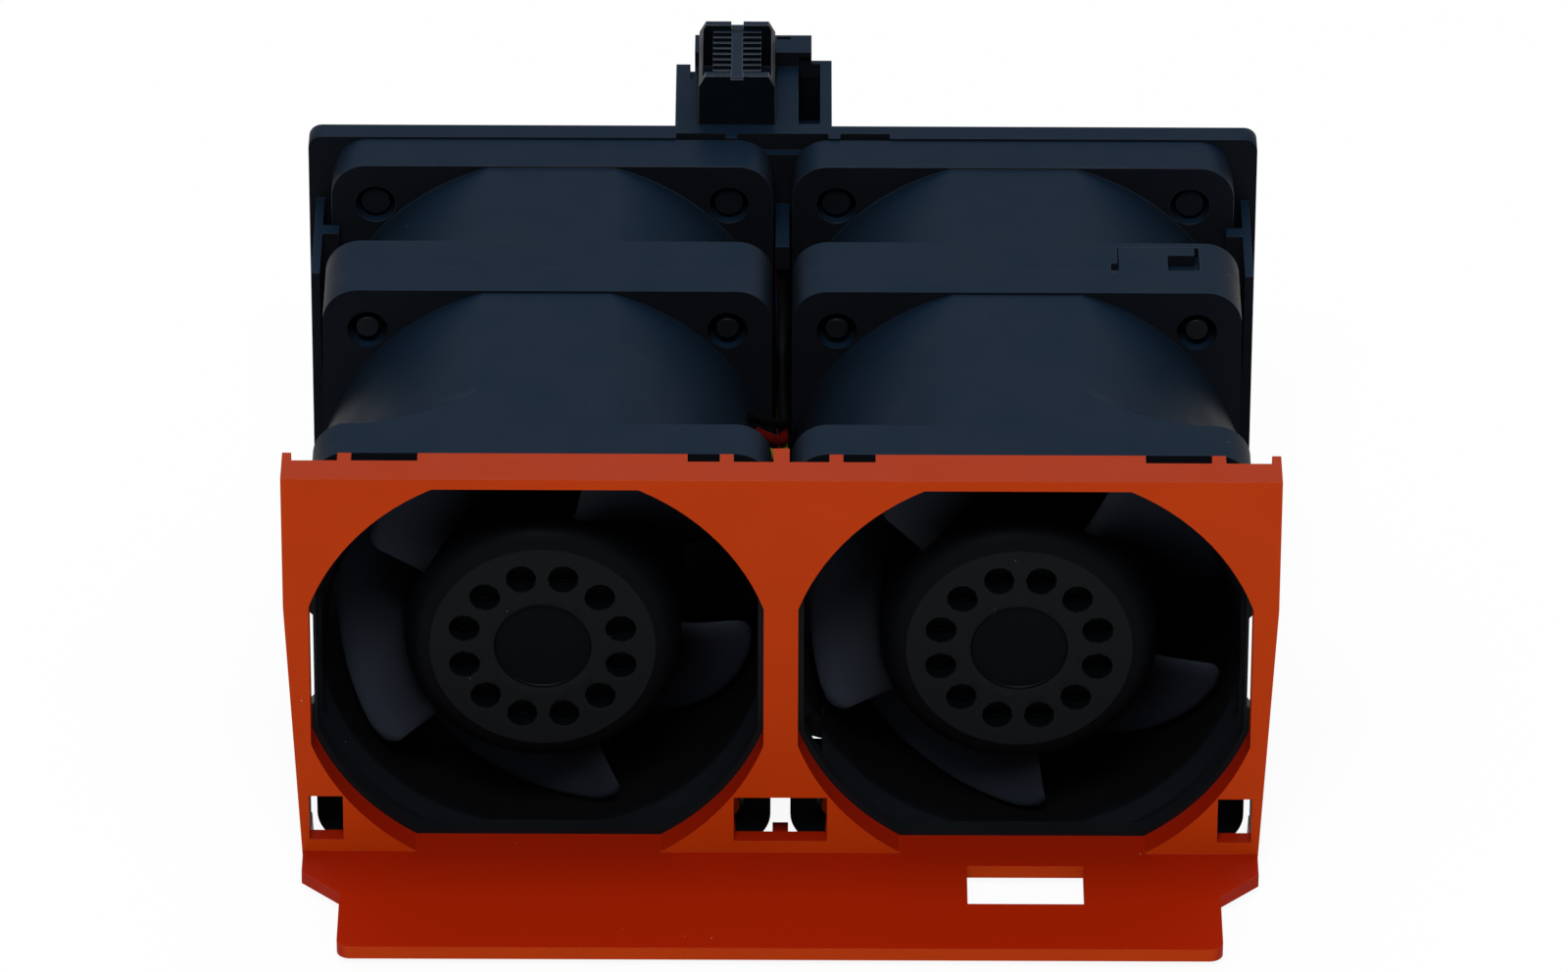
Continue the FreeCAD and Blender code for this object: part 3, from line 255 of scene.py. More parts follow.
# Painted shade on the impellers: a darker shoulder and blade roots, a darker hub face, and darker recess and
# pockets.
SHOULDER_PAINTED_SHADE = (0.0014, 0.0018, 0.0025)
SHOULDER_SHADE_FADE = 4.5
HUB_FACE_PAINTED_SHADE = (0.0050, 0.0062, 0.0072)
POCKET_PAINTED_SHADE = (0.0012, 0.0018, 0.0024)
POCKET_SHADE_FADE = (0.1, 0.25)
HUB_SHADE_FADE = 0.1
LEAD_GLOSS = 0.02
GOLD, WORN_GOLD = (0.83, 0.58, 0.22), (0.66, 0.42, 0.14)
COPPER_SHADE, COPPER = (0.30, 0.09, 0.03), (0.72, 0.30, 0.12)
LACQUER_GREEN, PALE_LACQUER = (0.01, 0.09, 0.035), (0.02, 0.14, 0.05)
FERRITE, PALE_FERRITE = (0.03, 0.03, 0.032), (0.07, 0.07, 0.072)

# How a moulding varies: sizes as cells in a millimetre, ranges of the noise, and depths in millimetres.
FLOW_CELLS = 0.09
FLOW_STRETCH = (1.0, 0.35, 1.0)
FLOW_RANGE = (0.35, 0.72)
DUST_GREY = (0.5, 0.5, 0.5)
DUST_CELLS = 2.6
DUST_RANGE = (0.83, 0.86)
GLOSS_CELLS = 0.22
GLOSS_RANGE = (0.3, 0.75)
GLOSS_LESS, GLOSS_MORE = 0.05, 0.07
WAVE_CELLS = 0.16
WAVE_DEPTH, WAVE_STRENGTH = 0.02, 0.4
GRAIN_DEPTH, GRAIN_STRENGTH = 0.005, 0.6


def from_fan_axis(shader):
    """The distance from the nearer fan's axis, in metres."""
    place = shader.split(shader.place)
    across = shader.calc("SUBTRACT", shader.calc("ABSOLUTE", place["X"]), AXIS_X)
    up = shader.calc("SUBTRACT", place["Z"], AXIS_Z)
    squares = [shader.calc("MULTIPLY", length, length) for length in (across, up)]
    return shader.calc("SQRT", shader.calc("ADD", *squares))


def painted_sheen_patches(shader):
    """A painted blue-grey sheen on what faces up above the fans' axes, outside the bores: it stands for the
    sheen of the light from above and behind.
    """
    place = shader.split(shader.place)
    high = shader.spread(place["Z"], AXIS_Z - PAINTED_SHEEN_FADE * MM, AXIS_Z + PAINTED_SHEEN_FADE * MM)
    return [(shader.calc("MULTIPLY", high, shader.facing("Z", *PAINTED_SHEEN_FACING)), PAINTED_TOP_SHEEN)]


def sheen_and_bore_shade_patches(shader):
    """Painted shade: the bore is painted a deeper black than the outside, on top of the painted sheen."""
    inside = shader.spread(from_fan_axis(shader), BORE_SHADE_FADE[0] * MM, BORE_SHADE_FADE[1] * MM, 1.0, 0.0)
    return painted_sheen_patches(shader) + [(inside, BORE_PAINTED_SHADE)]


def orange_painted_shade_patches(shader):
    """Painted shade: up-facing orange is painted duller than the panel, low down what doesn't face the front
    is painted a deeper red, and near the panel it is painted darker still, as a shadow.
    """
    place = shader.split(shader.place)
    low = shader.spread(place["Z"], AXIS_Z - LOW_SHADE_FADE * MM, AXIS_Z, 1.0, 0.0)
    low_and_turned = shader.calc("MULTIPLY", low, shader.facing("Y", *LOW_SHADE_FACING))
    near_panel = shader.spread(place["Y"], FANS_FRONT - NEAR_PANEL_SHADOW_FADE[0] * MM, FANS_FRONT - NEAR_PANEL_SHADOW_FADE[1] * MM)
    return [(shader.facing("Z", *TOP_FACE_SHADE_FACING), TOP_FACE_PAINTED_SHADE), (low_and_turned, LOW_PAINTED_SHADE_RED),
            (shader.calc("MULTIPLY", low_and_turned, near_panel), NEAR_PANEL_PAINTED_SHADOW)]


def impeller_painted_shade_patches(shader):
    """Painted shade: the hub's shoulder, fading out along the blades' roots, and what is sunk in its face are
    painted darker than the face, and the face darker than the blades.
    """
    out = from_fan_axis(shader)
    depth = shader.split(shader.place)["Y"]
    shoulder = shader.spread(out, HUB_RADIUS * MM, (HUB_RADIUS + SHOULDER_SHADE_FADE) * MM, 1.0, 0.0)
    face = shader.spread(out, (HUB_FACE_RADIUS - HUB_SHADE_FADE) * MM, HUB_FACE_RADIUS * MM, 1.0, 0.0)
    face_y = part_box("left_front_impeller")[0].y
    back_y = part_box("left_front_impeller")[1].y
    sunk = shader.spread(depth, face_y + POCKET_SHADE_FADE[0] * MM, face_y + POCKET_SHADE_FADE[1] * MM)
    front_rotor = shader.spread(depth, back_y, back_y + HUB_SHADE_FADE * MM, 1.0, 0.0)
    deep = shader.calc("MULTIPLY", shader.calc("MULTIPLY", face, sunk), front_rotor)
    return [(shoulder, SHOULDER_PAINTED_SHADE), (face, HUB_FACE_PAINTED_SHADE), (deep, POCKET_PAINTED_SHADE)]


def moulded_plastic(name, colour, pale, roughness, gloss_level, grain=9.0, dust=0.0, tint=None,
                    painted_shading=None):
    """A satin moulding: fine spark-eroded grain, faint flow marks, a little dust and any patches of painted
    light and shade.
    """
    shader = Shader(name)
    grain_height = shader.noise(grain, detail=2.0)
    flow = shader.noise(FLOW_CELLS, detail=4.0, roughness=0.6, place=shader.stretched(FLOW_STRETCH))
    body = shader.blend(shader.spread(flow, *FLOW_RANGE), rgb(*colour), rgb(*pale))
    for share, shade in painted_shading(shader) if painted_shading else []:
        body = shader.blend(share, body, rgb(*shade))
    if dust:
        specks = shader.noise(DUST_CELLS, detail=1.0, roughness=0.4)
        shown = shader.spread(specks, *DUST_RANGE, 0.0, dust)
        body = shader.blend(shown, body, rgb(*DUST_GREY))
    gloss = shader.spread(shader.noise(GLOSS_CELLS, detail=3.0), *GLOSS_RANGE,
                          roughness - GLOSS_LESS, roughness + GLOSS_MORE)
    waves = shader.bump(shader.noise(WAVE_CELLS, detail=2.0), WAVE_DEPTH, WAVE_STRENGTH)
    normal = shader.bump(grain_height, GRAIN_DEPTH, GRAIN_STRENGTH, under=waves)
    if tint:
        shader.finish(Specular_Tint=rgb(*tint))
    return shader.finish(Base_Color=body, Roughness=gloss, Normal=normal, Specular_IOR_Level=gloss_level)


def machined_steel(name, colour, roughness, brushed=(1.0, 1.0, 1.0)):
    """Turned or drawn steel with fine lines along one way."""
    shader = Shader(name)
    lines = shader.noise(6.0, detail=4.0, place=shader.stretched(brushed))
    smudge = shader.noise(0.3, detail=2.0)
    dark = tuple(share * 0.7 for share in colour)
    body = shader.blend(shader.spread(smudge, 0.3, 0.8), rgb(*colour), rgb(*dark))
    gloss = shader.spread(lines, 0.3, 0.7, roughness - 0.08, roughness + 0.1)
    return shader.finish(Base_Color=body, Metallic=1.0, Roughness=gloss,
                         Normal=shader.bump(lines, 0.004, 0.5))


def gold_plate():
    """Gold flashed over nickel, worn a little where the contacts rub."""
    shader = Shader("gold_plate")
    worn = shader.noise(1.4, detail=3.0)
    body = shader.blend(shader.spread(worn, 0.4, 0.75), rgb(*GOLD), rgb(*WORN_GOLD))
    return shader.finish(Base_Color=body, Metallic=1.0,
                         Roughness=shader.spread(worn, 0.3, 0.8, 0.22, 0.4))


def wire_insulation(name, colour):
    """Soft extruded insulation, with faint ripples along its length."""
    shader = Shader(name)
    ripple = shader.noise(1.8, detail=2.0, place=shader.stretched((1.0, 0.25, 1.0)))
    dull = tuple(share * 0.75 for share in colour)
    body = shader.blend(shader.spread(ripple, 0.35, 0.7), rgb(*colour), rgb(*dull))
    return shader.finish(Base_Color=body, Roughness=shader.spread(ripple, 0.3, 0.8, 0.5, 0.6),
                         Normal=shader.bump(ripple, 0.01, 0.5), Specular_IOR_Level=LEAD_GLOSS)


def enamelled_copper():
    """Round turns of lacquered wire, laid side by side."""
    shader = Shader("enamelled_copper")
    turns = shader.add("TexWave", wave_type="BANDS", bands_direction="Y", Scale=900.0, Distortion=0.6,
                       Vector=shader.place).outputs["Fac"]
    body = shader.blend(turns, rgb(*COPPER_SHADE), rgb(*COPPER))
    return shader.finish(Base_Color=body, Metallic=0.7, Roughness=0.3, Normal=shader.bump(turns, 0.05))


def solder_mask():
    """The green lacquer on a circuit board."""
    shader = Shader("solder_mask")
    blotch = shader.noise(0.8, detail=3.0)
    body = shader.blend(shader.spread(blotch, 0.4, 0.7), rgb(*LACQUER_GREEN), rgb(*PALE_LACQUER))
    return shader.finish(Base_Color=body, Roughness=shader.spread(blotch, 0.3, 0.8, 0.25, 0.4))


def sintered_magnet():
    """Dull grey ferrite with fine pores."""
    shader = Shader("sintered_magnet")
    pores = shader.noise(5.0, detail=4.0)
    body = shader.blend(shader.spread(pores, 0.4, 0.7), rgb(*FERRITE), rgb(*PALE_FERRITE))
    return shader.finish(Base_Color=body, Roughness=shader.spread(pores, 0.3, 0.8, 0.6, 0.8),
                         Normal=shader.bump(pores, 0.02))


# In each moulding: its name, its colour, its paler colour, its roughness and its gloss level.
MATERIALS = {
    "front_plastic": moulded_plastic("front_orange", (0.357, 0.030, 0.0018), (0.380, 0.034, 0.0022),
                                     0.42, 0.04, grain=7.0, dust=0.6, painted_shading=orange_painted_shade_patches),
    "frame_plastic": moulded_plastic("frame_black", BLACK, PALE_BLACK, 0.46, 0.02, dust=0.2,
                                     tint=BLUE_SHEEN, painted_shading=painted_sheen_patches),
    "plug_plastic": moulded_plastic("plug_black", (0.0016, 0.0028, 0.0042), (0.0022, 0.0036, 0.0052),
                                    0.4, 0.03, tint=BLUE_SHEEN, painted_shading=painted_sheen_patches),
    "housing_plastic": moulded_plastic("housing_black", BLACK, PALE_BLACK, 0.44, 0.02, dust=0.25,
                                       tint=BLUE_SHEEN, painted_shading=sheen_and_bore_shade_patches),
    "impeller_plastic": moulded_plastic("impeller_black", (0.0120, 0.0150, 0.0220),
                                        (0.0150, 0.0185, 0.0270), 0.5, 0.035, grain=11.0, dust=0.2,
                                        tint=(0.85, 0.92, 1.0), painted_shading=impeller_painted_shade_patches),
    "peg_plastic": moulded_plastic("peg_black", (0.0036, 0.0046, 0.0058), (0.0050, 0.0064, 0.0080),
                                   0.4, 0.1),
    "contact_metal": gold_plate(),
    "cup_steel": machined_steel("cup_steel", (0.42, 0.42, 0.44), 0.35, (1.0, 0.1, 1.0)),
    "magnet": sintered_magnet(),
    "shaft_steel": machined_steel("shaft_steel", (0.62, 0.62, 0.64), 0.2, (1.0, 0.1, 1.0)),
    "spring_steel": machined_steel("spring_steel", (0.35, 0.35, 0.37), 0.4),
    "bearing_steel": machined_steel("bearing_steel", (0.66, 0.66, 0.68), 0.16),
    "core_steel": machined_steel("core_steel", (0.32, 0.32, 0.34), 0.45, (0.1, 4.0, 0.1)),
    "copper": enamelled_copper(),
    "board": solder_mask(),
    # Painted shade: the red lead is a much darker red than its own, standing for the shade in the gap between
    # the fans where it shows.
    "red_insulation": wire_insulation("red_insulation", (0.070, 0.0028, 0.0028)),
    "black_insulation": wire_insulation("black_insulation", (0.0022, 0.0022, 0.0026)),
    "yellow_insulation": wire_insulation("yellow_insulation", (0.26, 0.17, 0.010)),
    "blue_insulation": wire_insulation("blue_insulation", (0.02, 0.05, 0.30)),
}

# What the rounded edges of a moulding wear: a painted highlight, paler than its faces, and a glossier finish.
EDGES = {
    "front_plastic": moulded_plastic("front_orange_edge_highlight", (0.56, 0.085, 0.018), (0.50, 0.070, 0.012),
                                     0.30, 0.5),
    "frame_plastic": moulded_plastic("frame_black_edge_highlight", (0.0090, 0.0140, 0.0230),
                                     (0.0120, 0.0180, 0.0280), 0.35, 0.1),
    "plug_plastic": moulded_plastic("plug_black_edge_highlight", (0.0140, 0.0180, 0.0240),
                                    (0.0220, 0.0280, 0.0360), 0.35, 0.3),
    "housing_plastic": moulded_plastic("housing_black_edge_highlight", (0.0070, 0.0120, 0.0200),
                                       (0.0090, 0.0145, 0.0235), 0.35, 0.08),
}


def paint(piece, slot):
    """The slot's material on every face. Clearing an empty list would reset the faces' own numbers."""
    if piece.data.materials:
        piece.data.materials.clear()
    piece.data.materials.append(MATERIALS[slot])


# ---- Dressed copies of the CAD nodes -----------------------------------------------------------

FLAT_ANGLE = math.radians(0.6)
ROUND_ANGLE = math.radians(32)
SHARP_ANGLE = math.radians(40)
WELD_DISTANCE = 2e-6
EDGE_SEGMENTS = 2
LARGE_FACE_WEIGHT = 90


def added(name, mesh, body, slot):
    """A new piece on a body, smooth over its curves and flat over its flats."""
    for face in mesh.faces:
        face.smooth = True
    data = bpy.data.meshes.new(name)
    mesh.to_mesh(data)
    mesh.free()
    data.set_sharp_from_angle(angle=SHARP_ANGLE)
    piece = bpy.data.objects.new(name, data)
    bpy.context.scene.collection.objects.link(piece)
    weighted = piece.modifiers.new("flat_faces", "WEIGHTED_NORMAL")
    weighted.keep_sharp = True
    weighted.weight = LARGE_FACE_WEIGHT
    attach(piece, body)
    paint(piece, slot)
    return piece


def finished(node, mesh):
    """A piece that stands for a node."""
    piece = added(node + "_finish", mesh, BODY_OF[node], SLOT_OF[node])
    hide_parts(node)
    return piece


def round_edges(mesh, edges, width_mm, material=0):
    """Round edges over a width to each side. The new faces take the material of that number."""
    bmesh.ops.bevel(mesh, geom=edges, offset=width_mm * MM, segments=EDGE_SEGMENTS, profile=0.5,
                    affect="EDGES", clamp_overlap=True, material=material)


def dressed(node, edge_mm):
    """The node's own shape with its outer edges rounded as a moulding's are, and a painted highlight on them.
    """
    mesh = bmesh.new()
    mesh.from_mesh(frame["nodes"][node].data)
    bmesh.ops.remove_doubles(mesh, verts=mesh.verts, dist=WELD_DISTANCE)
    bmesh.ops.dissolve_limit(mesh, angle_limit=FLAT_ANGLE, verts=mesh.verts, edges=mesh.edges)
    bmesh.ops.recalc_face_normals(mesh, faces=mesh.faces)
    sharp = [edge for edge in mesh.edges
             if len(edge.link_faces) == 2 and edge.calc_face_angle(0) > ROUND_ANGLE]
    round_edges(mesh, sharp, edge_mm, material=1)
    piece = finished(node, mesh)
    # The second material is the painted highlight on the rounded edges.
    piece.data.materials.append(EDGES.get(SLOT_OF[node], MATERIALS[SLOT_OF[node]]))


# ---- Points and faces --------------------------------------------------------------------------

def spot_at(across, depth, height):
    """A place given in millimetres from the middle, the fans' front faces and their axes."""
    return Vector((across * MM, FANS_FRONT + depth * MM, AXIS_Z + height * MM))


def on_circle(radius, degrees, height):
    """A place about the Z axis, in whatever unit the radius and the height have."""
    angle = math.radians(degrees)
    return Vector((radius * math.cos(angle), radius * math.sin(angle), height))


def row(mesh, points):
    """New vertices at the points."""
    return [mesh.verts.new(point) for point in points]


def strip(mesh, first, second):
    """Faces all round between two rows of as many points."""
    for index, start in enumerate(first):
        after = (index + 1) % len(first)
        mesh.faces.new((start, first[after], second[after], second[index]))


def skin(mesh, rows):
    """Faces between each row and the next."""
    for first, second in zip(rows, rows[1:]):
        strip(mesh, first, second)


def block(mesh, first, second):
    """A solid between two outlines of as many points."""
    strip(mesh, first, second)
    mesh.faces.new(first)
    mesh.faces.new(second[::-1])


# ---- Impellers ---------------------------------------------------------------------------------
# Each is built about its own axis with +Z towards the hub's face, then turned into its fan. Lengths
# are in millimetres and angles in degrees.

def pocket_sector(mesh, middle, face):
    """A twelfth of the hub's face: a flat piece of the ring around one pocket, and the pocket."""
    half = 180.0 / POCKETS
    inner, outer = RECESS_RADIUS + EDGE_BREAK, HUB_FACE_RADIUS - EDGE_BREAK
    border = []
    for start, end, sign in ((outer, inner, 1), (inner, outer, -1)):
        border += [on_circle(start, middle + sign * half * (2 * step / ARC_STEPS - 1), face)
                   for step in range(ARC_STEPS)]
        border += [on_circle(start + (end - start) * step / RADIAL_STEPS, middle + sign * half, face)
                   for step in range(RADIAL_STEPS)]
    centre = on_circle(POCKET_CIRCLE, middle, face)
    ways = [(point - centre).normalized() for point in border]
    rings = [border]
    for radius, drop in ((POCKET_RADIUS + EDGE_BREAK, 0.0), (POCKET_RADIUS + EDGE_MIDDLE, EDGE_MIDDLE),
                         (POCKET_RADIUS, EDGE_BREAK), (POCKET_RADIUS, POCKET_DEPTH - EDGE_BREAK),
                         (POCKET_RADIUS - EDGE_BREAK, POCKET_DEPTH)):
        rings.append([centre + way * radius - Vector((0, 0, drop)) for way in ways])
    rows = [row(mesh, ring) for ring in rings]
    skin(mesh, rows)
    mesh.faces.new(rows[-1])


def hub(mesh, face, foot):
    """A cup turned about the axis, with a rounded shoulder, a dished middle and balancing pockets."""
    for number in range(POCKETS):
        pocket_sector(mesh, POCKET_ANGLE + number * 360 / POCKETS, face)
    steps = POCKETS * ARC_STEPS
    start = POCKET_ANGLE - 180.0 / POCKETS
    outside = [(HUB_FACE_RADIUS - EDGE_BREAK, face), (HUB_FACE_RADIUS - EDGE_MIDDLE, face - EDGE_MIDDLE)]
    for step in range(1, SHOULDER_STEPS + 1):
        turn = math.radians(90 * step / SHOULDER_STEPS)
        out = math.sin(turn) ** SHOULDER_POWER
        down = (1 - math.cos(turn)) ** SHOULDER_POWER
        outside.append((HUB_FACE_RADIUS + (HUB_RADIUS - HUB_FACE_RADIUS) * out,
                        face - EDGE_BREAK - (SHOULDER_DROP - EDGE_BREAK) * down))
    inside = HUB_RADIUS - HUB_WALL
    ceiling = face - SHOULDER_DROP - HUB_WALL / 2
    outside += [(HUB_RADIUS, foot + EDGE_BREAK), (HUB_RADIUS - EDGE_BREAK, foot), (inside, foot),
                (inside, ceiling)]
    dish = [(RECESS_RADIUS + EDGE_BREAK, face), (RECESS_RADIUS + EDGE_MIDDLE, face - EDGE_MIDDLE),
            (RECESS_RADIUS, face - EDGE_BREAK), (RECESS_RADIUS, face - RECESS_DEPTH + EDGE_BREAK),
            (RECESS_RADIUS - EDGE_BREAK, face - RECESS_DEPTH), (DISH_MIDDLE, face - RECESS_DEPTH)]
    for profile in (outside, dish):
        rows = [row(mesh, [on_circle(radius, start + 360 * step / steps, height) for step in range(steps)])
                for radius, height in profile]
        skin(mesh, rows)
        mesh.faces.new(rows[-1])


def blade_place(stage, side, share, span_share, top):
    """Where the middle of the blade's thickness lies, as a radius, an angle and a height."""
    sizes = BLADES[stage]
    chord = math.hypot(sizes["length"], math.radians(BLADE_WRAP) * TIP_RADIUS)
    along = share * chord
    corner = 0.0
    if along < BLADE_CORNER:
        corner = BLADE_CORNER - math.sqrt(BLADE_CORNER ** 2 - (BLADE_CORNER - along) ** 2)
    radius = BLADE_ROOT + (TIP_RADIUS - corner - BLADE_ROOT) * span_share
    turned = share + BLADE_BOW * math.sin(math.pi * share)
    lean = BLADE_LEAN * (1 - span_share)
    lead = BLADE_LEAD_ANGLE + SIDE_TURN[side] - lean
    drop = share if stage == "front" else 1 - share
    return radius, lead - BLADE_WRAP * turned, top - sizes["inset"] - drop * sizes["length"]


def blade(mesh, stage, side, turn, top):
    """A twisted blade with a round nose, a thin tail and a fillet where it meets the hub."""
    rows = []
    for step in range(CHORD_STEPS + 1):
        share = 0.5 - 0.5 * math.cos(math.pi * step / CHORD_STEPS)
        nose = math.sqrt(max(0.0, 1 - max(0.0, 1 - share / NOSE_END) ** 2))
        past_start = max(0.0, share - TAPER_START) / (1 - TAPER_START)
        profile = max(THINNEST, nose * (1 - TAPER * past_start))
        if step == CHORD_STEPS:
            profile *= TAIL_EDGE
        halves = ([], [])
        for span_share in [place / SPAN_STEPS for place in range(SPAN_STEPS)] + [TIP_BREAK_START, 1.0]:
            radius, angle, height = blade_place(stage, side, share, span_share, top)
            thick = ROOT_THICKNESS + (TIP_THICKNESS - ROOT_THICKNESS) * span_share
            thick = thick * profile + FILLET * max(0.0, 1 - span_share / FILLET_END) ** 3
            if span_share == 1.0:
                thick *= TIP_BREAK
            half = math.degrees(thick / 2 / radius)
            for sign, side_points in zip((-1, 1), halves):
                side_points.append(on_circle(radius, angle + turn + sign * half, height))
        rows.append(row(mesh, halves[0] + halves[1][::-1]))
    skin(mesh, rows)
    mesh.faces.new(rows[0])
    mesh.faces.new(rows[-1][::-1])


def impeller(side, stage):
    """A fan's front or rear rotor, a finer mesh of the same sizes as the node's."""
    node = "%s_%s_impeller" % (side, stage)
    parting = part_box("%s_rear_housing" % side)[0].y
    foot, face = sorted(abs(corner.y - parting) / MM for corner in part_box(node))
    mesh = bmesh.new()
    hub(mesh, face, foot)
    count = BLADES[stage]["count"]
    for number in range(count):
        blade(mesh, stage, side, number * 360 / count, face + HUB_INSET)
    bmesh.ops.remove_doubles(mesh, verts=mesh.verts, dist=IMPELLER_WELD)
    bmesh.ops.recalc_face_normals(mesh, faces=mesh.faces)
    axis = SPIN_AT["%s_%s_spin" % (side, stage)]
    towards_face = math.pi / 2 if stage == "front" else -math.pi / 2
    mesh.transform(Matrix.Translation((axis.x, parting, axis.z)) @ Matrix.Rotation(towards_face, 4, "X")
                   @ Matrix.Scale(MM, 4))
    finished(node, mesh)


# ---- Leads -------------------------------------------------------------------------------------
# The same route as in the part's source, in millimetres: x, depth behind the fans' front faces and
# height over the fans' axes.

LEAD_COLOURS = ("black", "red", "yellow", "blue")
LEADS_PER_FAN = 4
LEAD_RADIUS = 0.475
LEAD_ROUND_STEPS = 5
LEAD_LENGTH_STEPS = 12
LEAD_CURVE_ORDER = 3
LEAD_PITCH = 1.1
LEAD_TOP = 9.0
LEAD_DROP = 2.0
LEAD_START = 22.0
LEAD_TURN = 1.0
LEAD_SETTLE = 3.0
LEAD_BOW = 0.3
LEAD_RISE_DEPTH = 60.8
LEAD_SPREAD = 1.1
LEAD_ENTRY = 2.5
LEAD_EXIT_GAP = 0.575
BARREL_RADIUS = 20.6
HALF_PITCH = 20.87
PLUG_CENTRE = -4.2
PLUG_UNDER = 16.5


def lead_route(number):
    """Out of a fan's barrel, along the gap between the fans and up into the plug."""
    fan = -1 if number < LEADS_PER_FAN else 1
    height = LEAD_TOP - number * LEAD_PITCH
    exit_height = height + LEAD_DROP
    exit_x = fan * (HALF_PITCH - math.sqrt(BARREL_RADIUS ** 2 - exit_height ** 2) - LEAD_EXIT_GAP)
    start = LEAD_START - number * LEAD_PITCH
    riser = LEAD_RISE_DEPTH + number * LEAD_PITCH
    contact_x = PLUG_CENTRE + LEAD_SPREAD * (-1) ** number
    return [(exit_x, start, exit_height), (-fan * LEAD_BOW, start + LEAD_TURN, height),
            (0.0, start + LEAD_TURN + LEAD_SETTLE, height), (0.0, riser, height),
            (contact_x, riser, PLUG_UNDER - LEAD_ENTRY), (contact_x, riser, PLUG_UNDER)]


def leads():
    """Each colour's two leads, as tubes along smooth curves."""
    for index, colour in enumerate(LEAD_COLOURS):
        node = colour + "_leads"
        data = bpy.data.curves.new(node + "_finish", "CURVE")
        data.dimensions = "3D"
        data.bevel_depth = LEAD_RADIUS * MM
        data.bevel_resolution = LEAD_ROUND_STEPS
        data.resolution_u = LEAD_LENGTH_STEPS
        data.use_fill_caps = True
        for number in (index, index + LEADS_PER_FAN):
            points = lead_route(number)
            spline = data.splines.new("NURBS")
            spline.points.add(len(points) - 1)
            for spot, point in zip(spline.points, points):
                spot.co = (*spot_at(*point), 1.0)
            spline.order_u = LEAD_CURVE_ORDER
            spline.use_endpoint_u = True
        route = bpy.data.objects.new(node + "_route", data)
        tubes = bpy.data.meshes.new_from_object(route)
        bpy.data.objects.remove(route)
        piece = bpy.data.objects.new(node + "_finish", tubes)
        bpy.context.scene.collection.objects.link(piece)
        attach(piece, BODY_OF[node])
        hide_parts(node)
        paint(piece, SLOT_OF[node])


# ---- Small trim --------------------------------------------------------------------------------
# Thin pieces that close gaps through which the floor would show. Lengths are in millimetres, depths
# behind the fans' front faces and heights over their axes.

OPENING_CENTRE = 21.3
OPENING_RADIUS = 21.0
OPENING_FLAT = 19.8
OPENING_TOP = 19.0
OPENING_FOOT = 18.04
COLLAR_BACK = -1.6
SEAL_BACK = -0.05
SEAL_PROUD = 0.5
SEAL_WIDTH = 1.3
SEAL_STEPS = 144
SEAL_SLIT = 0.25
SEAL_SLIT_ANGLE = 13.0
WEB_OUTLINE = ((0.9, -5.5), (2.0, -5.5), (2.9, -8.0), (4.2, -10.4), (4.2, -11.3), (0.9, -10.3))
WEB_DEPTHS = (3.4, 3.9)
PLATE_FRONT = 56.0
PLATE_BACK = 58.3
DECK_TOP = 20.2
DECK_THICKNESS = 1.5
PLUG_FRONT = 58.7
PLUG_LENGTH = 10.5
PLUG_HALF_WIDTH = 3.475
GASKET_OUT = 0.3
GASKET_IN = 0.02
GASKET_HEIGHTS = (DECK_TOP - 1.1, DECK_TOP - 0.4)
GASKET_EDGE = 0.05
WELL_SIDES = (1.3, 3.5)
WELL_DEPTHS = (PLATE_BACK + 0.3, PLATE_BACK + 11.9)
WELL_HEIGHTS = (DECK_TOP - 6.5, DECK_TOP - DECK_THICKNESS + 0.1)
WELL_WALL = 0.5
WELL_FLOOR_UNDER = 0.1
WELL_EDGE = 0.08

# The grommet's two blocks: the half width, the heights, the depths and the width of the rounded edges.
GROMMET_BODY = (0.73, (0.42, 9.88), (PLATE_FRONT + 0.1, PLATE_BACK + 0.2), 0.08)
GROMMET_LIP = (1.5, (-0.3, 10.6), (PLATE_BACK + 0.01, PLATE_BACK + 0.6), 0.2)


def opening_edge(middle, degrees, grown):
    """A place on a front opening's outline, moved outwards by a distance."""
    angle = math.radians(degrees)
    radius, flat = OPENING_RADIUS + grown, OPENING_FLAT + grown
    across = max(-flat, min(flat, radius * math.cos(angle)))
    up = max(-OPENING_FOOT - grown, min(OPENING_TOP + grown, radius * math.sin(angle)))
    return middle + across, up


def opening_seal(side):
    """A thin black seal between the front frame's collar and the fan, narrower at the outer flat."""
    middle, outer_flat = (-OPENING_CENTRE, 180.0) if side == "left" else (OPENING_CENTRE, 0.0)
    mesh = bmesh.new()
    rows = []
    for step in range(SEAL_STEPS):
        degrees = 360.0 * step / SEAL_STEPS
        from_outer_flat = abs((degrees - outer_flat + 180.0) % 360.0 - 180.0)
        end = -SEAL_SLIT if from_outer_flat < SEAL_SLIT_ANGLE else SEAL_WIDTH - SEAL_PROUD
        inner_x, inner_z = opening_edge(middle, degrees, -SEAL_PROUD)
        outer_x, outer_z = opening_edge(middle, degrees, end)
        rows.append(row(mesh, [spot_at(inner_x, COLLAR_BACK, inner_z), spot_at(outer_x, COLLAR_BACK, outer_z),
                               spot_at(outer_x, SEAL_BACK, outer_z), spot_at(inner_x, SEAL_BACK, inner_z)]))
    skin(mesh, rows + rows[:1])
    bmesh.ops.recalc_face_normals(mesh, faces=mesh.faces)
    added(side + "_opening_seal", mesh, "frame", "peg_plastic")


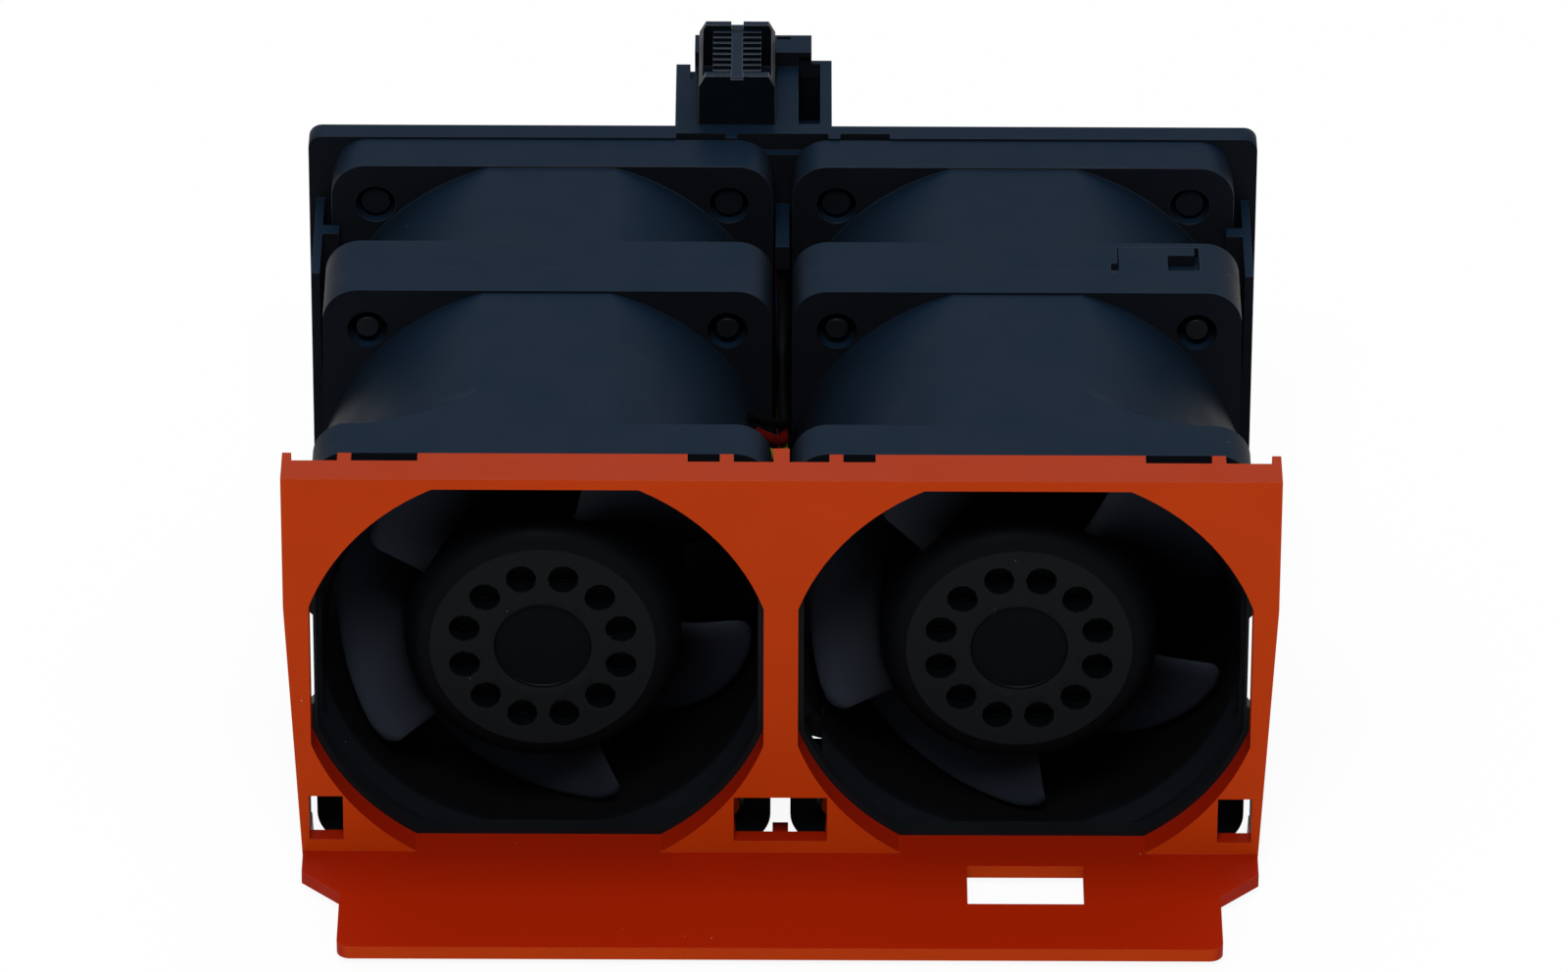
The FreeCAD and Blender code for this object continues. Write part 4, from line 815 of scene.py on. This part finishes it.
def notch_web():
    """The thin web across most of the notch in the right fan's front flange."""
    mesh = bmesh.new()
    front, back = (row(mesh, [spot_at(across, depth, height) for across, height in WEB_OUTLINE])
                   for depth in WEB_DEPTHS)
    block(mesh, front, back)
    bmesh.ops.recalc_face_normals(mesh, faces=mesh.faces)
    added("notch_web", mesh, "frame", "peg_plastic")


def rectangle(mesh, left, front, right, back, height):
    """A row of four corners at one height."""
    return row(mesh, [spot_at(left, front, height), spot_at(right, front, height),
                      spot_at(right, back, height), spot_at(left, back, height)])


def box_frame(mesh, outer, inner, heights):
    """A rectangular frame seen from above: outer and inner are (left, front, right, back)."""
    outer_low, outer_high, inner_low, inner_high = (
        rectangle(mesh, *sides, height) for sides in (outer, inner) for height in heights)
    skin(mesh, [outer_low, outer_high, inner_high, inner_low, outer_low])


def soften(mesh, width_mm):
    """Round every edge."""
    bmesh.ops.recalc_face_normals(mesh, faces=mesh.faces)
    round_edges(mesh, mesh.edges[:], width_mm)


def plug_gasket():
    """A soft frame that closes the play between the plug and the deck."""
    left, right = PLUG_CENTRE - PLUG_HALF_WIDTH, PLUG_CENTRE + PLUG_HALF_WIDTH
    front, back = PLUG_FRONT, PLUG_FRONT + PLUG_LENGTH
    mesh = bmesh.new()
    box_frame(mesh, (left - GASKET_OUT, front - GASKET_OUT, right + GASKET_OUT, back + GASKET_OUT),
              (left + GASKET_IN, front + GASKET_IN, right - GASKET_IN, back - GASKET_IN), GASKET_HEIGHTS)
    soften(mesh, GASKET_EDGE)
    added("plug_gasket", mesh, "frame", "peg_plastic")


def well_tray():
    """The pocket under the deck's open well: four thin walls and a floor that bites into them."""
    (left, right), (front, back), (foot, top) = WELL_SIDES, WELL_DEPTHS, WELL_HEIGHTS
    mesh = bmesh.new()
    box_frame(mesh, (left - WELL_WALL, front, right + WELL_WALL, back + WELL_WALL),
              (left, front + WELL_WALL, right, back), (foot, top))
    soften(mesh, WELL_EDGE)
    bite = WELL_WALL / 2
    floor, under = (rectangle(mesh, left - bite, front + bite, right + bite, back + bite, foot + height)
                    for height in (WELL_WALL, WELL_FLOOR_UNDER))
    block(mesh, under, floor)
    bmesh.ops.recalc_face_normals(mesh, faces=mesh.faces)
    added("well_tray", mesh, "frame", "plug_plastic")


def lead_grommet():
    """The rubber block that fills the plate's slot round the leads, with a lip behind."""
    mesh = bmesh.new()
    for half, (low, high), depths, edge_mm in (GROMMET_BODY, GROMMET_LIP):
        part = bmesh.new()
        block(part, *(row(part, [spot_at(-half, depth, low), spot_at(half, depth, low),
                                 spot_at(half, depth, high), spot_at(-half, depth, high)])
                      for depth in depths))
        soften(part, edge_mm)
        joined = bpy.data.meshes.new("grommet_part")
        part.to_mesh(joined)
        part.free()
        mesh.from_mesh(joined)
        bpy.data.meshes.remove(joined)
    added("lead_grommet", mesh, "frame", "peg_plastic")


# ---- Floor and light ---------------------------------------------------------------------------

FLOOR_SIZE = 3.0
FLOOR_DROP = 0.02
FLOOR_WHITE = 0.86
FLOOR_ROUGHNESS = 0.9
FLOOR_SHOWN_WHITE = 0.93
WORLD_STRENGTH = 0.36
LAMP_AIM = (0, 0, 0.02)
LAMPS = {
    "front": {"at": (-0.05, -0.66, 0.96), "size": (0.45, 0.3), "watts": 9.6, "colour": (1.0, 1.0, 1.0)},
    "back_top": {"at": (0, 0.65, 0.85), "size": (1.3, 0.6), "watts": 5.0, "colour": (0.80, 0.90, 1.0)},
}


def seen_directly(tree):
    """1 for rays from the camera, a reflection or something clear, and 0 for the rays that light."""
    rays = tree.nodes.new("ShaderNodeLightPath")
    total = rays.outputs["Is Camera Ray"]
    for name in ("Is Glossy Ray", "Is Transmission Ray"):
        either = tree.nodes.new("ShaderNodeMath")
        either.operation = "MAXIMUM"
        tree.links.new(total, either.inputs[0])
        tree.links.new(rays.outputs[name], either.inputs[1])
        total = either.outputs[0]
    return total


def make_floor():
    """A plain white floor that keeps a soft shadow."""
    mesh = bmesh.new()
    bmesh.ops.create_grid(mesh, x_segments=1, y_segments=1, size=FLOOR_SIZE)
    data = bpy.data.meshes.new("floor")
    mesh.to_mesh(data)
    mesh.free()
    floor = bpy.data.objects.new("floor", data)
    floor.location.z = -FLOOR_DROP * MM
    bpy.context.scene.collection.objects.link(floor)
    shader = Shader("floor_white")
    shader.finish(Base_Color=rgb(FLOOR_WHITE, FLOOR_WHITE, FLOOR_WHITE), Roughness=FLOOR_ROUGHNESS)
    glow = shader.add("Emission", Strength=1.0)
    mix = shader.add("MixShader")
    shown = shader.calc("MULTIPLY", seen_directly(shader.tree), FLOOR_SHOWN_WHITE)
    shader.tree.links.new(shown, mix.inputs[0])
    shader.tree.links.new(shader.surface.outputs[0], mix.inputs[1])
    shader.tree.links.new(glow.outputs[0], mix.inputs[2])
    output = shader.tree.nodes["Material Output"]
    shader.tree.links.new(mix.outputs[0], output.inputs["Surface"])
    data.materials.append(shader.material)


def make_world():
    """White wherever it is seen, and a much weaker even light."""
    world = bpy.data.worlds.new("studio")
    world.use_nodes = True
    tree = world.node_tree
    background = tree.nodes["Background"]
    background.inputs["Color"].default_value = rgb(1.0, 1.0, 1.0)
    strength = tree.nodes.new("ShaderNodeMapRange")
    tree.links.new(seen_directly(tree), strength.inputs["Value"])
    strength.inputs["To Min"].default_value = WORLD_STRENGTH
    strength.inputs["To Max"].default_value = 1.0
    tree.links.new(strength.outputs["Result"], background.inputs["Strength"])
    bpy.context.scene.world = world


def area_light(name, at, size, watts, colour):
    """A rectangular lamp, placed in metres and turned to the object."""
    data = bpy.data.lights.new(name, "AREA")
    data.shape = "RECTANGLE"
    data.size, data.size_y = size
    data.energy = watts
    data.color = colour
    light = bpy.data.objects.new(name, data)
    light.location = at
    light.rotation_euler = (Vector(LAMP_AIM) - Vector(at)).to_track_quat("-Z", "Y").to_euler()
    bpy.context.scene.collection.objects.link(light)


# ---- The object --------------------------------------------------------------------------------

# The width of the rounded edges, in millimetres.
EDGE_MM = {"front_frame": 0.16, "rear_frame": 0.14, "plug_housing": 0.07, "plug_contacts": 0.04}
HOUSING_EDGE = 0.16
PEGS_EDGE = 0.1


def dress_nodes():
    """Every node but the impellers and the leads, which have meshes of their own."""
    for node in frame["nodes"]:
        if node.endswith("_impeller") or node.endswith("_leads"):
            continue
        if node in EDGE_MM:
            dressed(node, EDGE_MM[node])
        elif node.endswith("_housing"):
            dressed(node, HOUSING_EDGE)
        elif node.endswith("_joining_pegs"):
            dressed(node, PEGS_EDGE)
        else:
            paint(frame["nodes"][node], SLOT_OF[node])


make_camera()
make_floor()
make_world()
for name, lamp in LAMPS.items():
    area_light(name, **lamp)
dress_nodes()
leads()
for side in SIDES:
    for stage in STAGES:
        impeller(side, stage)
for side in SIDES:
    opening_seal(side)
notch_web()
plug_gasket()
well_tray()
lead_grommet()
bpy.context.scene.view_settings.view_transform = "Standard"
